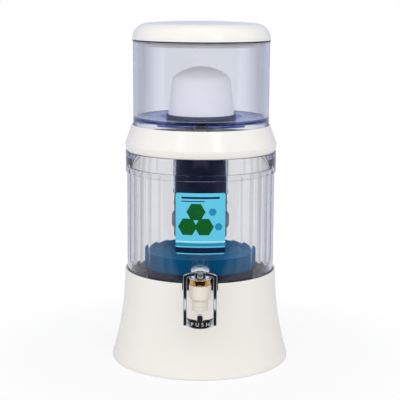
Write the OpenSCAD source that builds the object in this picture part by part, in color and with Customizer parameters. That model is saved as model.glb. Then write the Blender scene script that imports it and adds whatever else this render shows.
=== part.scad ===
// Gravity water filter: a clear upper tank with a ceramic dome drains through a hanging
// cartridge into a clear lower tank, which stands in a flared base and is emptied by a push tap.
// Z is up and the tap faces -Y. The origin is under the middle of the whole object, tap included,
// on the surface that the stand rests on. The modules draw about the tanks' axis, and placed()
// moves them behind the origin.

/* [Stand] */
// Height of the stand up to its rim
stand_h = 142; // [125:1:170]
// Outer radius of the stand where it meets the floor
stand_foot_r = 137; // [128:1:150]
// Height of the upright edge at the foot
stand_edge_h = 5; // [4:0.5:10]
// Wall thickness of the stand
stand_wall = 3; // [2:0.2:4.5]
// Width of the flat foot under the stand
foot_w = 9; // [6:0.5:16]
// Gap between the lower tank and the stand's rim
stand_gap = 0.5; // [0.4:0.1:1.5]
// How deep the lower tank sits in the stand
tank_sink = 24; // [18:1:28]
// Width of the ledge that carries the lower tank
seat_w = 20; // [12:1:30]
// Thickness of the ledge that carries the lower tank
seat_t = 3; // [2:0.5:5]
// Number of gussets under the ledge
gusset_count = 12; // [6:1:24]
// Thickness of a gusset
gusset_t = 2.4; // [1.6:0.2:4]
// Height of a gusset
gusset_h = 26; // [16:1:40]
// Width of the notch that lets the tap through the rim
notch_w = 53; // [50:1:70]

/* [Lower tank] */
// Outer radius of the lower tank
tank_r = 113.5; // [108:0.5:120]
// Wall thickness of the lower tank
tank_wall = 6; // [5:0.5:8]
// Thickness of the lower tank's floor
tank_floor = 6; // [4:0.5:9]
// Height of the lower tank up to the shoulder that carries the middle ring
tank_h = 208; // [190:1:230]
// Height of the collar at the tank's top
collar_h = 32.5; // [28:0.5:36]
// How far the collar stands out from the wall below it
collar_step = 2; // [1:0.5:4]
// Depth of the wider mouth inside the collar
mouth_depth = 24; // [16:1:27]
// Radial step between the bore and the mouth
mouth_step = 2.5; // [2:0.25:3]
// Height of the rim that enters the middle ring
rim_h = 8; // [5:0.5:12]
// Radial thickness of the rim that enters the middle ring
rim_t = 2.5; // [1.8:0.1:2.9]

/* [Label] */
// Width of the label
label_w = 74; // [50:1:90]
// Height of the label
label_h = 91; // [60:1:110]
// Height of the label's lower edge above the tank's underside
label_rise = 68; // [50:1:70]
// Corner radius of the label
label_corner = 3; // [1:0.5:8]
// Thickness of the label
label_t = 0.4; // [0.3:0.1:0.8]

/* [Mineral tray] */
// Outer radius of the tray
tray_r = 84; // [70:1:86]
// Height of the tray's bowl
tray_h = 25; // [21:1:28]
// Wall thickness of the tray
tray_wall = 2.5; // [1.5:0.5:4]
// Height of the skirt that holds the tray above the tank's floor
tray_skirt_h = 22; // [15:1:26]
// How far the skirt is set in from the tray's side
tray_skirt_in = 1.5; // [0.5:0.5:6]
// Number of water slots in the skirt
skirt_slot_count = 4; // [2:1:12]
// Width of a water slot in the skirt
skirt_slot_w = 14; // [6:1:24]
// Thickness of the tray's cover
cover_t = 3; // [2.5:0.5:5]
// Number of ring grooves in the cover
groove_count = 5; // [3:1:6]
// Width of a ring groove
groove_w = 3; // [1.5:0.5:4]
// Depth of a ring groove
groove_depth = 1.2; // [0.6:0.1:1.6]
// Radius of a mineral stone
stone_r = 8.5; // [6:0.5:9]
// Diameter of the water holes in the tray
drip_hole_d = 4; // [3:0.5:5]

/* [Middle ring] */
// Height of the middle ring
ring_h = 39.8; // [36:0.2:50]
// How far the middle ring stands out past the lower tank's collar
ring_over = 0.8; // [0.3:0.1:4]
// Height of the upright band at the ring's lower edge
ring_band_h = 11; // [9:1:16]
// Wall thickness of the middle ring
ring_wall = 3; // [2:0.5:4]
// Depth of the socket that holds the upper tank
socket_depth = 8; // [5:0.5:12]
// Radius of the opening that the cartridge passes through
ring_hole_r = 64; // [56:1:80]

/* [Upper tank] */
// Outer radius of the upper tank
upper_r = 104; // [100:0.5:106]
// Wall thickness of the upper tank
upper_wall = 5.5; // [4:0.5:7]
// Height of the upper tank from the lower end of its skirt to its rim
upper_h = 134.5; // [110:1:160]
// Height of the skirt under the upper tank's floor
skirt_h = 15; // [12:0.5:25]
// Thickness of the upper tank's floor
upper_floor = 5; // [4:0.5:8]
// Radius of the round recess in the floor
recess_r = 62; // [56:1:70]
// Depth of the round recess in the floor
recess_depth = 4; // [2:0.5:6]
// Height of the bead round the rim
bead_h = 1.8; // [1:0.2:4]
// How far the bead stands out
bead_out = 0.9; // [0.5:0.1:2]

/* [Lid] */
// Height of the lid above the tank's rim
lid_h = 29.2; // [26:0.2:40]
// Radius of the lid's shoulder
lid_shoulder_r = 24; // [12:1:25]
// Height of the lid's slight crown
lid_crown = 3; // [1:0.5:8]
// Wall thickness of the lid
lid_wall = 2.5; // [2:0.5:4]
// How far the lid stands out past the tank's rim bead
lid_over = 0.1; // [0:0.1:1]
// Depth of the ring that centres the lid in the tank
lid_ring_h = 7; // [4:0.5:15]
// Gap between that ring and the tank
lid_ring_gap = 0.6; // [0.4:0.1:1.5]

/* [Ceramic dome] */
// Radius of the dome at its foot
dome_foot_r = 50.5; // [46:0.5:52]
// Radius of the dome where its shoulder starts
dome_top_r = 45.2; // [43:0.2:46]
// Height of the dome
dome_h = 73; // [70:1:85]
// Radius of the dome's crown
dome_crown_r = 66; // [60:1:75]
// Radius of the dome's shoulder
dome_shoulder_r = 15; // [12:1:20]
// Wall thickness of the dome
dome_wall = 8; // [5:0.5:10]
// Radius of the plate under the dome
plate_r = 53; // [53:0.5:55]
// Thickness of the plate under the dome
plate_t = 6; // [4:0.5:9]
// Radius of the threaded stem under the plate
stem_r = 8; // [6:0.5:10]
// Radius of the water bore in the stem
stem_bore_r = 4; // [2:0.5:5]
// Thickness of the gasket under the plate
gasket_t = 1.5; // [1:0.5:3]
// Radius of the gasket under the plate
gasket_r = 40; // [20:1:48]

/* [Wing nut] */
// Radius of the wing nut's hub
wing_hub_r = 13; // [12:0.5:16]
// Height of the wing nut
wing_h = 7; // [5:0.5:9]
// Span of the wings
wing_span = 54; // [40:1:70]
// Thickness of the wings
wing_t = 5; // [3:0.5:8]

/* [Cartridge] */
// Outer radius of the clear sleeve
sleeve_r = 43; // [38:0.5:44]
// Wall thickness of the clear sleeve
sleeve_wall = 3; // [2:0.5:4]
// Length of the clear sleeve
sleeve_l = 81; // [60:1:82]
// Height of the lip at the sleeve's lower end
lip_h = 5; // [3:0.5:8]
// How far the lip stands out
lip_out = 1; // [0.5:0.5:3]
// Height of the cartridge's head above the sleeve
head_h = 9; // [6:1:10]
// Radius of the head's threaded neck
neck_r = 14; // [12:0.5:18]
// Length of the head's threaded neck
neck_l = 11; // [10:0.5:14]
// Outer radius of the lower housing
housing_r = 41.5; // [36:0.5:43]
// Length of the lower housing
housing_l = 40; // [40:1:48]
// Height of the thin band round the lower housing
band_h = 3; // [2:0.5:5]
// Outer radius of the coupling ring
coupling_r = 46.4; // [46:0.2:50]
// Height of the coupling ring
coupling_h = 20.5; // [14:0.5:24]
// Number of grip ribs on the coupling ring
coupling_grip_count = 12; // [6:1:18]
// Length of the foot cup below the coupling ring
foot_l = 15; // [10:1:16]
// Number of outlet holes in the foot cup
outlet_count = 12; // [6:1:16]
// Thickness of the felt pads between the beds
pad_t = 2.5; // [1.5:0.5:4]

/* [Tap] */
// Height of the tap's shank above the tank's underside
tap_rise = 24; // [24:0.5:26]
// Distance from the tank's wall to the spout's axis
tap_reach = 38; // [37:0.5:45]
// Radius of the tap's body
body_r = 16; // [15.5:0.25:17]
// Height of the body above the shank's axis
body_up = 8.2; // [8:0.2:10]
// Height of the body's straight part below the shank's axis
body_down = 8.5; // [8:0.5:10]
// Radius of the round under the body
body_round_r = 6; // [4:0.5:6.5]
// Radius of the spout
spout_r = 11.2; // [10.5:0.1:12]
// Length of the spout below the shank's axis
spout_l = 29.4; // [28:0.2:34]
// Depth of the groove round the spout
spout_groove = 0.8; // [0.4:0.1:1.5]
// Radius of the threaded shank
shank_r = 7.5; // [6.5:0.25:8]
// Radius of the bore in the shank
shank_bore_r = 4.5; // [3:0.25:5]
// Radius of the flange that presses on the outer washer
flange_r = 10; // [9.5:0.25:10.25]
// Thickness of that flange
flange_t = 3; // [2:0.5:4]
// Thickness of the silicone washers
washer_t = 2; // [1:0.25:2.5]
// Width of the nut across its flats
nut_af = 22; // [20:0.5:23]
// Thickness of the nut
nut_t = 7; // [5:0.5:9]
// Length of shank that shows past the nut
shank_tail = 4; // [2:0.5:5]

/* [Bonnet] */
// Radius of the gold ring
gold_r = 15.2; // [14.6:0.1:16]
// Height of the gold ring
gold_h = 9; // [7:0.5:11]
// Radius of the bonnet's flange
bonnet_flange_r = 16.5; // [16:0.1:16.8]
// Thickness of the bonnet's flange
bonnet_flange_t = 1.8; // [1.2:0.1:2.2]
// Radius of the bonnet's barrel
barrel_r = 13.5; // [13:0.1:13.8]
// Height of the bonnet's barrel above its flange
barrel_h = 12; // [11.8:0.2:14]
// Height of the bonnet's domed top
barrel_dome_h = 6.2; // [4:0.2:9]
// Radius of the bore inside the bonnet
bonnet_bore_r = 9; // [8.4:0.1:9.2]

/* [Valve] */
// Radius of the valve stem
rod_r = 2.5; // [2:0.1:2.7]
// Running gap round the valve stem and the pin
running_gap = 0.1; // [0.05:0.01:0.1]
// Radius of the silicone seal
seal_r = 7.5; // [7.2:0.1:8]
// Height of the silicone seal
seal_h = 6; // [4:0.5:7]
// Radius of the spring, to the middle of its wire
spring_r = 5.4; // [4.5:0.1:6]
// Diameter of the spring's wire
spring_wire = 0.9; // [0.6:0.1:1.2]
// Number of turns in the spring
spring_turns = 6; // [4:0.5:8]

/* [Push lever] */
// Outer width of the lever
lever_w = 48.4; // [48:0.2:56]
// Width of one arm, seen from the front
arm_w = 5.4; // [4:0.2:6]
// Depth of one arm, front to back
arm_d = 7; // [5:0.5:8]
// Depth of the crossbar, front to back
crossbar_d = 5; // [4:0.5:6]
// Height of the crossbar, seen from the front
crossbar_h = 7.5; // [6:0.5:8]
// Rise of the arched crossbar
crossbar_rise = 5.4; // [3:0.2:6]
// Width of the sloped corners of the lever's top
lever_corner = 2.5; // [1:0.5:4]
// Total height of the lever
lever_h = 84; // [80:0.5:84]
// Height of the push plate
plate_h = 13.3; // [10:0.1:14]
// Drop of the push plate's curved edges
plate_drop = 3.3; // [2:0.1:5]
// Thickness of the push plate
push_t = 2.6; // [2:0.1:4]
// Radius of the push plate's bulge, seen from above
plate_bow_r = 45; // [35:1:80]
// Width of the lug on the push plate
lug_w = 8.4; // [6:0.2:10]
// Height of the lug above the push plate's edge
lug_h = 8.6; // [6:0.1:8.8]
// Radius of the hinge pin
pin_r = 1.5; // [1.2:0.1:1.6]
// Distance from the stem's axis forward to the hinge pin
pin_reach = 10; // [9.8:0.1:10.4]
// Width of the tongue that lifts the stem
tongue_w = 8.6; // [8:0.1:9]
// Radius of the screw head at the front
screw_head_r = 4.4; // [3.5:0.1:4.8]

/* [Hidden] */
$fn = 96;
// Facets of a very large circle, so that its drawn outline stays smooth
big_fn = 720;
// Overlap that joins two shapes or clears a cut
eps = 0.01;
cut = 1;
// Gap left where one piece rests on a piece of another moving group
seat_gap = 0.2;
// Gap between pieces that slip into each other by hand
slip = 0.4;
// Gap between pieces that are screwed or pressed together
snug = 0.1;

// Stand
stand_rim_r = tank_r + stand_gap + stand_wall;
tank_z = stand_h - tank_sink;
seat_z = tank_z - seat_gap;
flare_drop = stand_h - stand_edge_h;
flare_out = stand_foot_r - stand_rim_r;
flare_r = (flare_drop * flare_drop + flare_out * flare_out) / (2 * flare_out);
flare_x = stand_rim_r + flare_r;
foot_round = stand_wall * 0.9;
function stand_r(z) = flare_x - sqrt(flare_r * flare_r - pow(stand_h - z, 2));

// Lower tank
floor_z = tank_z + tank_floor;
bore_r = tank_r - tank_wall;
shoulder_z = tank_z + tank_h;
collar_r = tank_r + collar_step;
collar_z = shoulder_z - collar_h;
mouth_r = bore_r + mouth_step;
mouth_z = shoulder_z - mouth_depth;
rim_r = mouth_r + rim_t;

// Mineral tray
tray_seat_z = floor_z + seat_gap;
tray_z = tray_seat_z + tray_skirt_h;
tray_top_z = tray_z + tray_h;
cover_lip_h = 2.5;
tray_in_r = tray_r - tray_wall;
tray_skirt_r = tray_r - tray_skirt_in;
skirt_slot_h = tray_skirt_h * 0.35;
groove_pitch = (tray_r - 8) / (groove_count + 0.5);
stone_pitch = (tray_in_r - stone_r - 1) / 3;

// Middle ring
ring_z = shoulder_z + seat_gap;
ring_top_z = ring_z + ring_h;
ring_r = collar_r + ring_over;
socket_z = ring_top_z - socket_depth;
socket_r = upper_r + slip;
ring_lip_t = 1.6;
ring_tuck = 1.8;
ring_skirt_r = rim_r + slip;
ring_cone_z = ring_z + ring_band_h;

// Upper tank
upper_z = socket_z + seat_gap;
upper_in_r = upper_r - upper_wall;
upper_top_z = upper_z + upper_h;
upper_floor_z = upper_z + skirt_h;
upper_floor_top = upper_floor_z + upper_floor;
recess_z = upper_floor_top - recess_depth;
recess_under_z = upper_floor_z - recess_depth;
recess_under_r = recess_r + upper_floor;
bead_r = upper_r + bead_out;

// Lid
lid_z = upper_top_z + seat_gap;
lid_r = bead_r + lid_over;
lid_top_z = lid_z + lid_h;
lid_shoulder_x = lid_r - lid_shoulder_r;
lid_shoulder_z = lid_top_z - lid_crown - lid_shoulder_r;
lid_crown_r = (lid_shoulder_x * lid_shoulder_x + lid_crown * lid_crown) / (2 * lid_crown);
lid_ring_r = upper_in_r - lid_ring_gap;
lid_ring_t = 2.2;

// Dome, plate and wing nut
gasket_z = recess_z;
plate_z = gasket_z + gasket_t;
plate_top_z = plate_z + plate_t;
plate_rim_h = 1.5;
dome_z = plate_top_z - plate_rim_h;
dome_apex_z = dome_z + dome_h;
crown_z = dome_apex_z - dome_crown_r;
shoulder_x = dome_top_r - dome_shoulder_r;
shoulder_up = sqrt(pow(dome_crown_r - dome_shoulder_r, 2) - shoulder_x * shoulder_x);
dome_shoulder_z = crown_z + shoulder_up;
crown_edge_x = shoulder_x * dome_crown_r / (dome_crown_r - dome_shoulder_r);
thread_hole_r = stem_r + snug;
wing_top_z = recess_under_z;
wing_z = wing_top_z - wing_h;

// Cartridge
neck_top_z = wing_z - 1;
head_z = neck_top_z - neck_l;
stem_end_z = head_z + 0.5;
sleeve_top_z = head_z - head_h;
sleeve_z = sleeve_top_z - sleeve_l;
sleeve_in_r = sleeve_r - sleeve_wall;
housing_z = sleeve_z - housing_l;
housing_wall = 2;
housing_in_r = housing_r - housing_wall;
band_z = sleeve_z - housing_l * 0.41;
coupling_z = housing_z - coupling_h / 2;
foot_top_z = housing_z;
foot_z = coupling_z - foot_l;
foot_wall = 2.5;
foot_r = housing_r;
outlet_r = 2.2;
outlet_x = foot_r * 0.72;
bed_gap = 0.2;
bed_r = sleeve_in_r - slip;
housing_bed_r = housing_in_r - slip;
silica_h = (housing_l - pad_t) * 0.45;
// Height at which the pads and the beds stand, from the foot cup's floor upward
low_pad_z = housing_z;
silica_z = low_pad_z + pad_t + bed_gap;
zeolite_z = silica_z + silica_h + bed_gap;
mid_pad_z = sleeve_z - pad_t;
carbon_z = sleeve_z + bed_gap;
top_pad_z = sleeve_top_z - pad_t;

// Tap: axis of the spout, levels and the wall's flat seats
tap_y = -(tank_r + tap_reach);
tap_z = tank_z + tap_rise;
spot_r = flange_r + 1;
spot_y = -(sqrt(tank_r * tank_r - spot_r * spot_r) - 0.05);
pad_y = -(bore_r - 1);
pad_r = nut_af / 2 + 2;
hole_r = shank_r + 0.3;
washer_y = spot_y - washer_t;
flange_y = washer_y - flange_t;
inner_washer_y = pad_y + washer_t;
nut_y = inner_washer_y + nut_t;
shank_end_y = nut_y + shank_tail;
notch_z = tap_z - flange_r - 0.6;
body_top_z = tap_z + body_up;
body_low_z = tap_z - body_down;
spout_z = tap_z - spout_l;
spout_neck_r = spout_r - 0.4;
neck_low_z = body_low_z - body_round_r;
chamber_r = 11;
seat_lip_z = body_low_z + 1;
seat_lip_h = 2;
seat_lip_t = 1.8;
seat_hole_r = 5;
spout_bore_r = spout_r - 3;
shank_neck_r = body_up - 0.2;
body_neck_r = 13;
gold_z = body_top_z;
gold_top_z = gold_z + gold_h;
bonnet_top_z = gold_top_z + bonnet_flange_t;
barrel_top_z = bonnet_top_z + barrel_h;
barrel_dome_r = (barrel_r * barrel_r + barrel_dome_h * barrel_dome_h) / (2 * barrel_dome_h);
skirt_r = chamber_r - 0.2;
bonnet_skirt_z = body_top_z - 2;
web_t = 2.6;
web_top_z = bonnet_top_z + 1.8;
web_z = web_top_z - web_t;
bore_top_z = barrel_top_z;
valve_travel = 2.1;

// Hinge pin, tongue and lever
pin_y = tap_y - pin_reach;
pin_z = bonnet_top_z + 6;
knuckle_r = 3.2;
slot_w = tongue_w + 0.6;
slot_z = pin_z - knuckle_r - 0.6;
slot_top_z = pin_z + 6;
tongue_h = 3.8;
tongue_z = pin_z - 1.8;
tongue_reach = pin_reach + 0.5;
collar_gap = 0.3;
rod_collar_z = tongue_z + tongue_h + collar_gap;
rod_collar_h = 2.2;
rod_collar_r = 4.5;
rod_top_z = rod_collar_z + rod_collar_h + 0.5;
stem_room_z = rod_top_z + valve_travel + slip;
fork_w = 2 * rod_r + 0.8;
pin_l = 2 * sqrt(barrel_r * barrel_r - pin_reach * pin_reach) - 0.6;
lever_back_y = tap_y - barrel_r - 1.5;
lever_front_y = lever_back_y - crossbar_d;
lever_top_z = pin_z + 6.2;
lever_low_z = lever_top_z - lever_h;
web_back_t = 1.8;
box_half_w = 8;
box_low_z = pin_z - 4;
box_top_z = lever_top_z - 0.6;
box_rib = 1.4;
recess_top_z = box_top_z - 0.8;
arm_in = lever_w / 2 - arm_w;
screw_shank_r = 1.7;
screw_head_t = 2.2;
screw_end_y = pin_y - pin_r - 0.6;
push_face_y = lever_front_y - 0.2;
box_front_y = lever_front_y - 1;

// Distance of the tanks' axis behind the middle of the whole object
axis_y = (-box_front_y - stand_foot_r) / 2;

// Valve
seal_z = seat_lip_z + seat_lip_h + seat_gap;
seal_top_z = seal_z + seal_h;
spring_seat_t = 2;
spring_z = seal_top_z + spring_seat_t;

// ---- Outline helpers -------------------------------------------------------

// Upright wall between two radii, as the outline of a ring
module wall_2d(r_in, r_out, z_low, z_high) {
    translate([r_in, z_low]) square([r_out - r_in, z_high - z_low]);
}

module tube(r_in, r_out, z_low, z_high) {
    rotate_extrude() wall_2d(r_in, r_out, z_low, z_high);
}

// Solid of revolution that lies along Y, between two places on that axis
module along_y(r, y_low, y_high) {
    translate([0, y_low, tap_z]) rotate([-90, 0, 0]) cylinder(r = r, h = y_high - y_low);
}

module rounded_rect_2d(w, h, r) {
    translate([-w / 2 + r, 0]) square([w - 2 * r, h]);
    translate([-w / 2, r]) square([w, h - 2 * r]);
    for (x = [-1, 1], z = [r, h - r]) translate([x * (w / 2 - r), z]) circle(r);
}

// Extrudes an outline drawn in the X-Z plane from one place along Y to another
module front_extrude(y_front, y_back) {
    translate([0, y_back, 0]) rotate([90, 0, 0]) linear_extrude(y_back - y_front) children();
}

// ---- Stand -----------------------------------------------------------------

// Region inside the flared side, drawn in by inset
module flare_2d(inset, z_low) {
    difference() {
        wall_2d(0, stand_foot_r - inset, z_low, stand_h);
        translate([flare_x, stand_h]) circle(flare_r + inset, $fn = big_fn);
    }
}

module stand_skin_2d() {
    difference() {
        flare_2d(0, 0);
        flare_2d(stand_wall, -cut);
        wall_2d(0, tank_r + stand_gap, seat_z - cut, stand_h + cut);
        translate([stand_foot_r - foot_round, 0]) square(foot_round);
    }
    translate([stand_foot_r - foot_round, foot_round]) circle(foot_round);
}

module gusset() {
    gusset_z = seat_z - gusset_h;
    rotate([90, 0, 0]) translate([0, 0, -gusset_t / 2]) linear_extrude(gusset_t) polygon([
        [stand_rim_r - seat_w, seat_z - seat_t / 2],
        [stand_r(seat_z) - stand_wall / 2, seat_z - seat_t / 2],
        [stand_r(gusset_z) - stand_wall / 2, gusset_z],
        [stand_rim_r - seat_w, seat_z - seat_t - 2]
    ]);
}

module base_stand() {
    color("ivory") difference() {
        union() {
            rotate_extrude() {
                stand_skin_2d();
                wall_2d(stand_rim_r - seat_w, stand_r(seat_z) - stand_wall / 2, seat_z - seat_t, seat_z);
                wall_2d(stand_foot_r - foot_w, stand_foot_r - foot_round, 0, stand_wall);
            }
            for (i = [0 : gusset_count - 1]) rotate([0, 0, (i + 0.5) * 360 / gusset_count]) gusset();
        }
        translate([-notch_w / 2, -stand_foot_r, notch_z])
            cube([notch_w, stand_foot_r - bore_r + 8, stand_h]);
    }
}

// ---- Lower tank ------------------------------------------------------------

module tank_body_2d() {
    corner = 3;
    difference() {
        union() {
            wall_2d(0, tank_r, tank_z, collar_z + eps);
            wall_2d(0, collar_r, collar_z, shoulder_z);
            wall_2d(0, rim_r, shoulder_z - eps, shoulder_z + rim_h);
        }
        wall_2d(0, bore_r, floor_z, mouth_z + eps);
        wall_2d(0, mouth_r, mouth_z, shoulder_z + rim_h + cut);
        translate([tank_r - corner, tank_z]) difference() {
            translate([0, -cut]) square([corner + cut, corner + cut]);
            translate([0, corner]) circle(corner);
        }
    }
}

module lower_tank() {
    color("lightsteelblue", 0.4) difference() {
        union() {
            rotate_extrude() tank_body_2d();
            along_y(pad_r, -(bore_r + tank_wall / 2), pad_y);
        }
        along_y(hole_r, -(tank_r + cut), pad_y + cut);
        along_y(spot_r, -(tank_r + cut), spot_y);
    }
}

module front_label() {
    inner_r = tank_r + 0.05;
    color("skyblue") intersection() {
        tube(inner_r, inner_r + label_t, tank_z, shoulder_z);
        translate([0, 0, tank_z + label_rise]) front_extrude(-tank_r - 2 * label_t - cut, 0)
            rounded_rect_2d(label_w, label_h, label_corner);
    }
}

// ---- Mineral tray ----------------------------------------------------------

module drip_holes(z_low, z_high, rings) {
    for (ring = rings, i = [0 : 6 * ring - 1])
        rotate([0, 0, i * 60 / ring]) translate([ring * groove_pitch, 0, z_low])
            cylinder(d = drip_hole_d, h = z_high - z_low);
}

module tray_bowl() {
    color("steelblue") difference() {
        rotate_extrude() {
            difference() {
                wall_2d(0, tray_r, tray_z, tray_top_z);
                wall_2d(0, tray_in_r, tray_z + tray_wall, tray_top_z + cut);
            }
            wall_2d(tray_skirt_r - tray_wall, tray_skirt_r, tray_seat_z, tray_z + eps);
        }
        drip_holes(tray_z - cut, tray_z + tray_wall + cut, [1 : 3]);
        for (i = [0 : skirt_slot_count - 1]) rotate([0, 0, i * 360 / skirt_slot_count])
            translate([tray_skirt_r / 2, -skirt_slot_w / 2, tray_seat_z - cut])
                cube([tray_skirt_r, skirt_slot_w, skirt_slot_h + cut]);
    }
}

module tray_cover() {
    color("cadetblue") difference() {
        rotate_extrude() difference() {
            union() {
                wall_2d(0, tray_r, tray_top_z, tray_top_z + cover_t);
                wall_2d(tray_in_r - slip - 2, tray_in_r - slip, tray_top_z - cover_lip_h, tray_top_z + eps);
            }
            for (i = [1 : groove_count]) wall_2d(i * groove_pitch - groove_w / 2,
                i * groove_pitch + groove_w / 2, tray_top_z + cover_t - groove_depth, tray_top_z + cover_t + cut);
        }
        drip_holes(tray_top_z - cut, tray_top_z + cover_t + cut, [1 : 3]);
    }
}

module mineral_stones() {
    stone_z = tray_z + tray_wall + stone_r + seat_gap;
    color("lightgray") {
        translate([0, 0, stone_z]) sphere(stone_r);
        for (ring = [1 : 3], i = [0 : 6 * ring - 1])
            rotate([0, 0, (i + 0.5) * 60 / ring]) translate([ring * stone_pitch, 0, stone_z]) sphere(stone_r);
    }
}

// ---- Middle ring -----------------------------------------------------------

module ring_outline_2d() {
    polygon([
        [0, ring_z],
        [ring_r - ring_tuck, ring_z],
        [ring_r - ring_tuck / 4, ring_z + ring_band_h / 3],
        [ring_r, ring_z + ring_band_h * 0.7],
        [ring_r, ring_cone_z],
        [ring_r - 0.6, ring_cone_z + 3],
        [socket_r + ring_lip_t, ring_top_z],
        [0, ring_top_z]
    ]);
}

module middle_ring() {
    shelf_low_z = socket_z - ring_wall;
    color("ivory") rotate_extrude() difference() {
        ring_outline_2d();
        wall_2d(0, ring_hole_r, ring_z - cut, ring_top_z + cut);
        wall_2d(0, socket_r, socket_z, ring_top_z + cut);
        polygon([
            [0, ring_z - cut],
            [ring_skirt_r, ring_z - cut],
            [ring_skirt_r, ring_cone_z],
            [socket_r + ring_lip_t - ring_wall / 2, shelf_low_z],
            [0, shelf_low_z]
        ]);
    }
}

// ---- Upper tank and lid ----------------------------------------------------

module upper_tank() {
    color("lightsteelblue", 0.4) rotate_extrude() difference() {
        union() {
            wall_2d(0, upper_r, upper_z, upper_top_z);
            wall_2d(0, bead_r, upper_top_z - bead_h, upper_top_z);
        }
        wall_2d(0, upper_in_r, upper_floor_top, upper_top_z + cut);
        wall_2d(0, recess_r, recess_z, upper_floor_top + cut);
        wall_2d(recess_under_r, upper_in_r, upper_z - cut, upper_floor_z);
        wall_2d(0, recess_under_r + cut, upper_z - cut, recess_under_z);
        wall_2d(0, thread_hole_r + 0.3, upper_z, upper_floor_top + cut);
    }
}

// Region under the lid's outside, drawn in by inset
module lid_2d(inset) {
    intersection() {
        union() {
            wall_2d(0, lid_shoulder_x, lid_z, lid_top_z);
            wall_2d(0, lid_r - inset, lid_z, lid_shoulder_z);
            translate([lid_shoulder_x, lid_shoulder_z]) circle(lid_shoulder_r - inset);
        }
        wall_2d(0, lid_r, lid_z, lid_top_z);
        translate([0, lid_top_z - lid_crown_r]) circle(lid_crown_r - inset, $fn = 2 * big_fn);
    }
}

module lid() {
    color("ivory") rotate_extrude() {
        difference() {
            lid_2d(0);
            lid_2d(lid_wall);
        }
        wall_2d(lid_ring_r - lid_ring_t, lid_r - lid_wall + eps, lid_z, lid_z + lid_wall);
        wall_2d(lid_ring_r - lid_ring_t, lid_ring_r, lid_z - lid_ring_h, lid_z + eps);
    }
}

// ---- Ceramic dome ----------------------------------------------------------

// Region inside the dome's outside, drawn in by inset
module dome_2d(inset) {
    polygon([
        [0, dome_z],
        [dome_foot_r - inset, dome_z],
        [dome_top_r - inset, dome_shoulder_z],
        [0, dome_shoulder_z]
    ]);
    intersection() {
        translate([shoulder_x, dome_shoulder_z]) circle(dome_shoulder_r - inset);
        wall_2d(0, dome_foot_r, dome_shoulder_z - eps, dome_apex_z);
    }
    intersection() {
        translate([0, crown_z]) circle(dome_crown_r - inset);
        wall_2d(0, crown_edge_x, dome_shoulder_z - eps, dome_apex_z);
    }
}

module ceramic_dome() {
    color("whitesmoke") rotate_extrude() difference() {
        dome_2d(0);
        dome_2d(dome_wall);
    }
}

module dome_plate() {
    color("slategray") rotate_extrude() {
        difference() {
            wall_2d(stem_bore_r, plate_r, plate_z, plate_top_z);
            wall_2d(dome_foot_r - dome_wall - slip, dome_foot_r + snug, dome_z, plate_top_z + cut);
        }
        wall_2d(stem_bore_r, stem_r, stem_end_z, plate_z + eps);
    }
}

module dome_gasket() {
    color("dimgray") tube(thread_hole_r + 0.3, gasket_r, gasket_z, gasket_z + gasket_t);
}

module wing_nut() {
    color("slategray") difference() {
        union() {
            translate([0, 0, wing_z]) cylinder(r = wing_hub_r, h = wing_h);
            front_extrude(-wing_t / 2, wing_t / 2)
                translate([0, wing_z]) rounded_rect_2d(wing_span, wing_h, wing_h / 3);
        }
        translate([0, 0, wing_z - cut]) cylinder(r = thread_hole_r, h = wing_h + 2 * cut);
    }
}

// ---- Cartridge -------------------------------------------------------------

module cartridge_head() {
    color("midnightblue") rotate_extrude() {
        wall_2d(thread_hole_r, neck_r, head_z - eps, neck_top_z);
        wall_2d(stem_bore_r, sleeve_r, head_z - head_h / 2, head_z);
        wall_2d(sleeve_in_r, sleeve_r, sleeve_top_z, head_z - head_h / 2 + eps);
    }
}

module cartridge_sleeve() {
    color("lightsteelblue", 0.4) rotate_extrude() {
        wall_2d(sleeve_in_r, sleeve_r, sleeve_z, sleeve_top_z);
        wall_2d(sleeve_in_r, sleeve_r + lip_out, sleeve_z, sleeve_z + lip_h);
    }
}

module carbon_bed() {
    color("black") tube(0, bed_r, carbon_z, top_pad_z - bed_gap);
}

module felt_pads() {
    color("white") {
        tube(0, bed_r, top_pad_z, top_pad_z + pad_t);
        tube(0, housing_bed_r, mid_pad_z, mid_pad_z + pad_t);
        tube(0, housing_bed_r, low_pad_z, low_pad_z + pad_t);
    }
}

module mineral_housing() {
    color("gray", 0.6) rotate_extrude() {
        wall_2d(housing_in_r, housing_r, housing_z, sleeve_z);
        wall_2d(housing_in_r, housing_r + lip_out, band_z, band_z + band_h);
    }
}

module zeolite_bed() {
    color("gray") tube(0, housing_bed_r, zeolite_z, mid_pad_z - bed_gap);
}

module silica_bed() {
    color("wheat") tube(0, housing_bed_r, silica_z, silica_z + silica_h);
}

module coupling_ring() {
    inner_r = housing_r + snug;
    grip_out = 1;
    color("slategray") {
        rotate_extrude() polygon([
            [inner_r, coupling_z],
            [coupling_r - grip_out, coupling_z],
            [coupling_r - grip_out, coupling_z + coupling_h - 2],
            [coupling_r - grip_out - 2, coupling_z + coupling_h],
            [inner_r, coupling_z + coupling_h]
        ]);
        for (i = [0 : coupling_grip_count - 1]) rotate([0, 0, i * 360 / coupling_grip_count])
            translate([coupling_r - grip_out - 1, -3, coupling_z + 1]) cube([grip_out + 1, 6, coupling_h - 4]);
    }
}

module cartridge_foot() {
    color("slategray") difference() {
        rotate_extrude() {
            wall_2d(foot_r - foot_wall, foot_r, foot_z, foot_top_z);
            wall_2d(0, foot_r, foot_z, foot_z + foot_wall);
        }
        for (i = [0 : outlet_count - 1]) rotate([0, 0, i * 360 / outlet_count])
            translate([outlet_x, 0, foot_z - cut]) cylinder(r = outlet_r, h = foot_wall + 2 * cut);
    }
}

// ---- Tap body and its fixing -----------------------------------------------

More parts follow.
